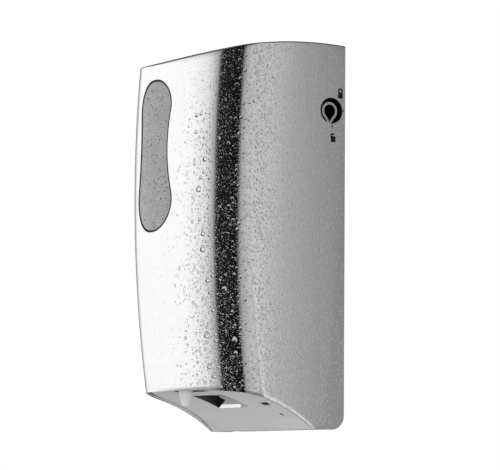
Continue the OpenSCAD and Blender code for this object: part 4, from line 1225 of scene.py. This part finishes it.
def studio_world():
    """White behind the object; in metal, a bright left half, a dark gap and a grey right half."""
    world = bpy.data.worlds.new("studio")
    world.use_nodes = True
    scene.world = world
    tree = world.node_tree
    back = tree.nodes["Background"]
    look = Wire(tree).node("ShaderNodeTexCoord", out="Generated")
    x, y, z = look.axes()
    turn = x.sum("ARCTAN2", x, -1 * y) * (180 / math.pi)
    # the edges of the gap lean, the right one more: further right above, further left below
    lean = (z.under(0.105) - 0.065) * (16 + 94 * turn.step(30, 52))
    # tones by the turn from straight ahead, in degrees
    stops = [
        (-180, 0.30), (-150, 0.40), (-125, 0.22), (-109, 0.24), (-104, 0.55), (-96, 1.02),
        (-50, 1.06), (-14, 1.03), (-8, 0.98), (-2, 0.90), (3.6, 0.82), (7, 0.73), (9, 0.62),
        (10.9, 0.51), (12.6, 0.45), (13.6, 0.30), (14.6, 0.12), (15.8, 0.012), (58, 0.004),
        (62, 0.05), (67, 0.22), (74, 0.42), (87.5, 0.52), (105, 0.60), (128, 0.34), (180, 0.30),
    ]
    tone = turn.node(
        "ShaderNodeValToRGB",
        {"stops": [((a + 180) / 360, s) for a, s in stops]},
        {0: (turn - lean) / 360 + 0.5},
    )
    # darker far below and far above
    level = 1 - 0.66 * (1 - z.step(-0.42, -0.15)) - 0.85 * z.step(0.25, 0.44)
    grey = level.mix((0.0, 0.0, 0.0), (1.0, 1.0, 1.0))
    seen = look.node(
        "ShaderNodeMix",
        {"data_type": "RGBA", "blend_type": "MULTIPLY"},
        {0: 1.0, 6: tone, 7: grey},
        2,
    )
    ray = look.node("ShaderNodeLightPath", out="Is Camera Ray")
    shiny = (ray.other("Is Glossy Ray") + ray.other("Is Transmission Ray")).under(1.0)
    lit = shiny.mix((0.62, 0.62, 0.62), seen)
    tree.links.new(ray.mix(lit, (1.0, 1.0, 1.0)).socket, back.inputs["Color"])


def grey_card():
    """A card beside the object, seen only in metal: the side wall grows darker towards the wall."""
    wide, tall, turn = 0.20, 1.2, math.radians(-59.16)
    place_x, place_y, place_z = 0.355, 0.150, 0.03
    clear_bench()
    bpy.ops.mesh.primitive_plane_add(
        size=1, location=(place_x, place_y, place_z), rotation=(math.pi / 2, 0, turn)
    )
    bpy.context.object.scale = (wide, tall, 1)
    card = named("grey_card")
    clear_bench()
    made, _, place = new_finish("grey_card")
    x, y, z = place.axes()
    along = 0.5 - ((x - place_x) * math.cos(turn) + (y - place_y) * math.sin(turn)) / wide
    # the tones lean with height
    along = along - 0.35 * (z - 0.075)
    # tone by the depth of the spot on the side wall that shows it
    tones = [
        (0.110, 0.61), (0.077, 0.65), (0.065, 0.625), (0.055, 0.55), (0.045, 0.44),
        (0.034, 0.39), (0.025, 0.355), (0.015, 0.32), (0.005, 0.295), (0.0, 0.25),
    ]
    at_wall, per_metre = 0.655, 5            # along the card, as a share of its width
    stops = [(at_wall - per_metre * t, s) for t, s in tones]
    tone = along.node("ShaderNodeValToRGB", {"stops": stops}, {0: along})
    fade = (1 - 0.9 * (z - place_z)).under(1.15)
    shine = tone.node("ShaderNodeEmission", {}, {"Color": tone, "Strength": fade})
    tone.tree.links.new(shine.socket, made.node_tree.nodes["Material Output"].inputs["Surface"])
    card.data.materials.append(made)
    for kind in ("camera", "diffuse", "shadow", "volume_scatter"):
        setattr(card, "visible_" + kind, False)


def soft_lamp(name, place, size, power):
    """A round lamp that metal and water don't show."""
    lamp = bpy.data.lights.new(name, "AREA")
    lamp.shape = "DISK"
    lamp.size = size
    lamp.energy = power
    made = bpy.data.objects.new(name, lamp)
    made.location = place
    made.rotation_mode = "QUATERNION"
    made.rotation_quaternion = (MIDDLE - Vector(place)).to_track_quat("-Z", "Y")
    made.visible_glossy = made.visible_transmission = False
    scene.collection.objects.link(made)


def pale_floor():
    """A wide floor far below, white to the camera."""
    wide, depth = 60, 2.4
    clear_bench()
    bpy.ops.mesh.primitive_plane_add(size=wide, location=(0, 0, -depth))
    floor = named("floor")
    clear_bench()
    made, lay, place = new_finish("pale_floor")
    lay(Base_Color=place.noise(0.8).mix((0.84, 0.84, 0.84), (0.88, 0.88, 0.88)), Roughness=0.9)
    tree = made.node_tree
    ray = place.node("ShaderNodeLightPath", out="Is Camera Ray")
    white = place.node("ShaderNodeEmission", {}, {"Color": (1, 1, 1, 1), "Strength": 0.98})
    pale = Wire(tree, tree.nodes["Principled BSDF"].outputs[0])
    mixed = place.node("ShaderNodeMixShader", {}, {0: ray, 1: pale, 2: white})
    tree.links.new(mixed.socket, tree.nodes["Material Output"].inputs["Surface"])
    floor.data.materials.append(made)
    floor.visible_glossy = False


def camera():
    """The photograph's viewpoint: a little below, from the right, and rolled by 0.4 of a degree."""
    turn, rise, roll = (math.radians(a) for a in (59.156, -4.807, 0.398))
    far, focus = 2.0, 2906.25                # metres, and pixels
    wide_px, tall_px, sensor = 500, 470, 36
    seen_px = (231.347, 240.833)             # where the middle is seen in the picture
    flat = math.cos(rise)
    back = Vector((math.sin(turn) * flat, -math.cos(turn) * flat, math.sin(rise)))
    right = Vector((math.cos(turn), math.sin(turn), 0))
    up = right.cross(-back)
    shift = right * (wide_px / 2 - seen_px[0]) + up * (seen_px[1] - tall_px / 2)
    aim = MIDDLE + shift * far / focus
    eye = bpy.data.objects.new("camera", bpy.data.cameras.new("camera"))
    eye.data.sensor_width = sensor
    eye.data.lens = focus * sensor / wide_px
    eye.data.clip_end = 100
    eye.location = MIDDLE + back * far
    eye.rotation_mode = "QUATERNION"
    look = (aim - eye.location).to_track_quat("-Z", "Y")
    eye.rotation_quaternion = look @ Quaternion((0, 0, 1), roll)
    scene.collection.objects.link(eye)
    scene.camera = eye


studio_world()
grey_card()
soft_lamp("key_lamp", (-0.9, -1.6, 1.2), 1.2, 14)
soft_lamp("fill_lamp", (1.3, -1.2, -0.9), 1.4, 9)
pale_floor()
camera()
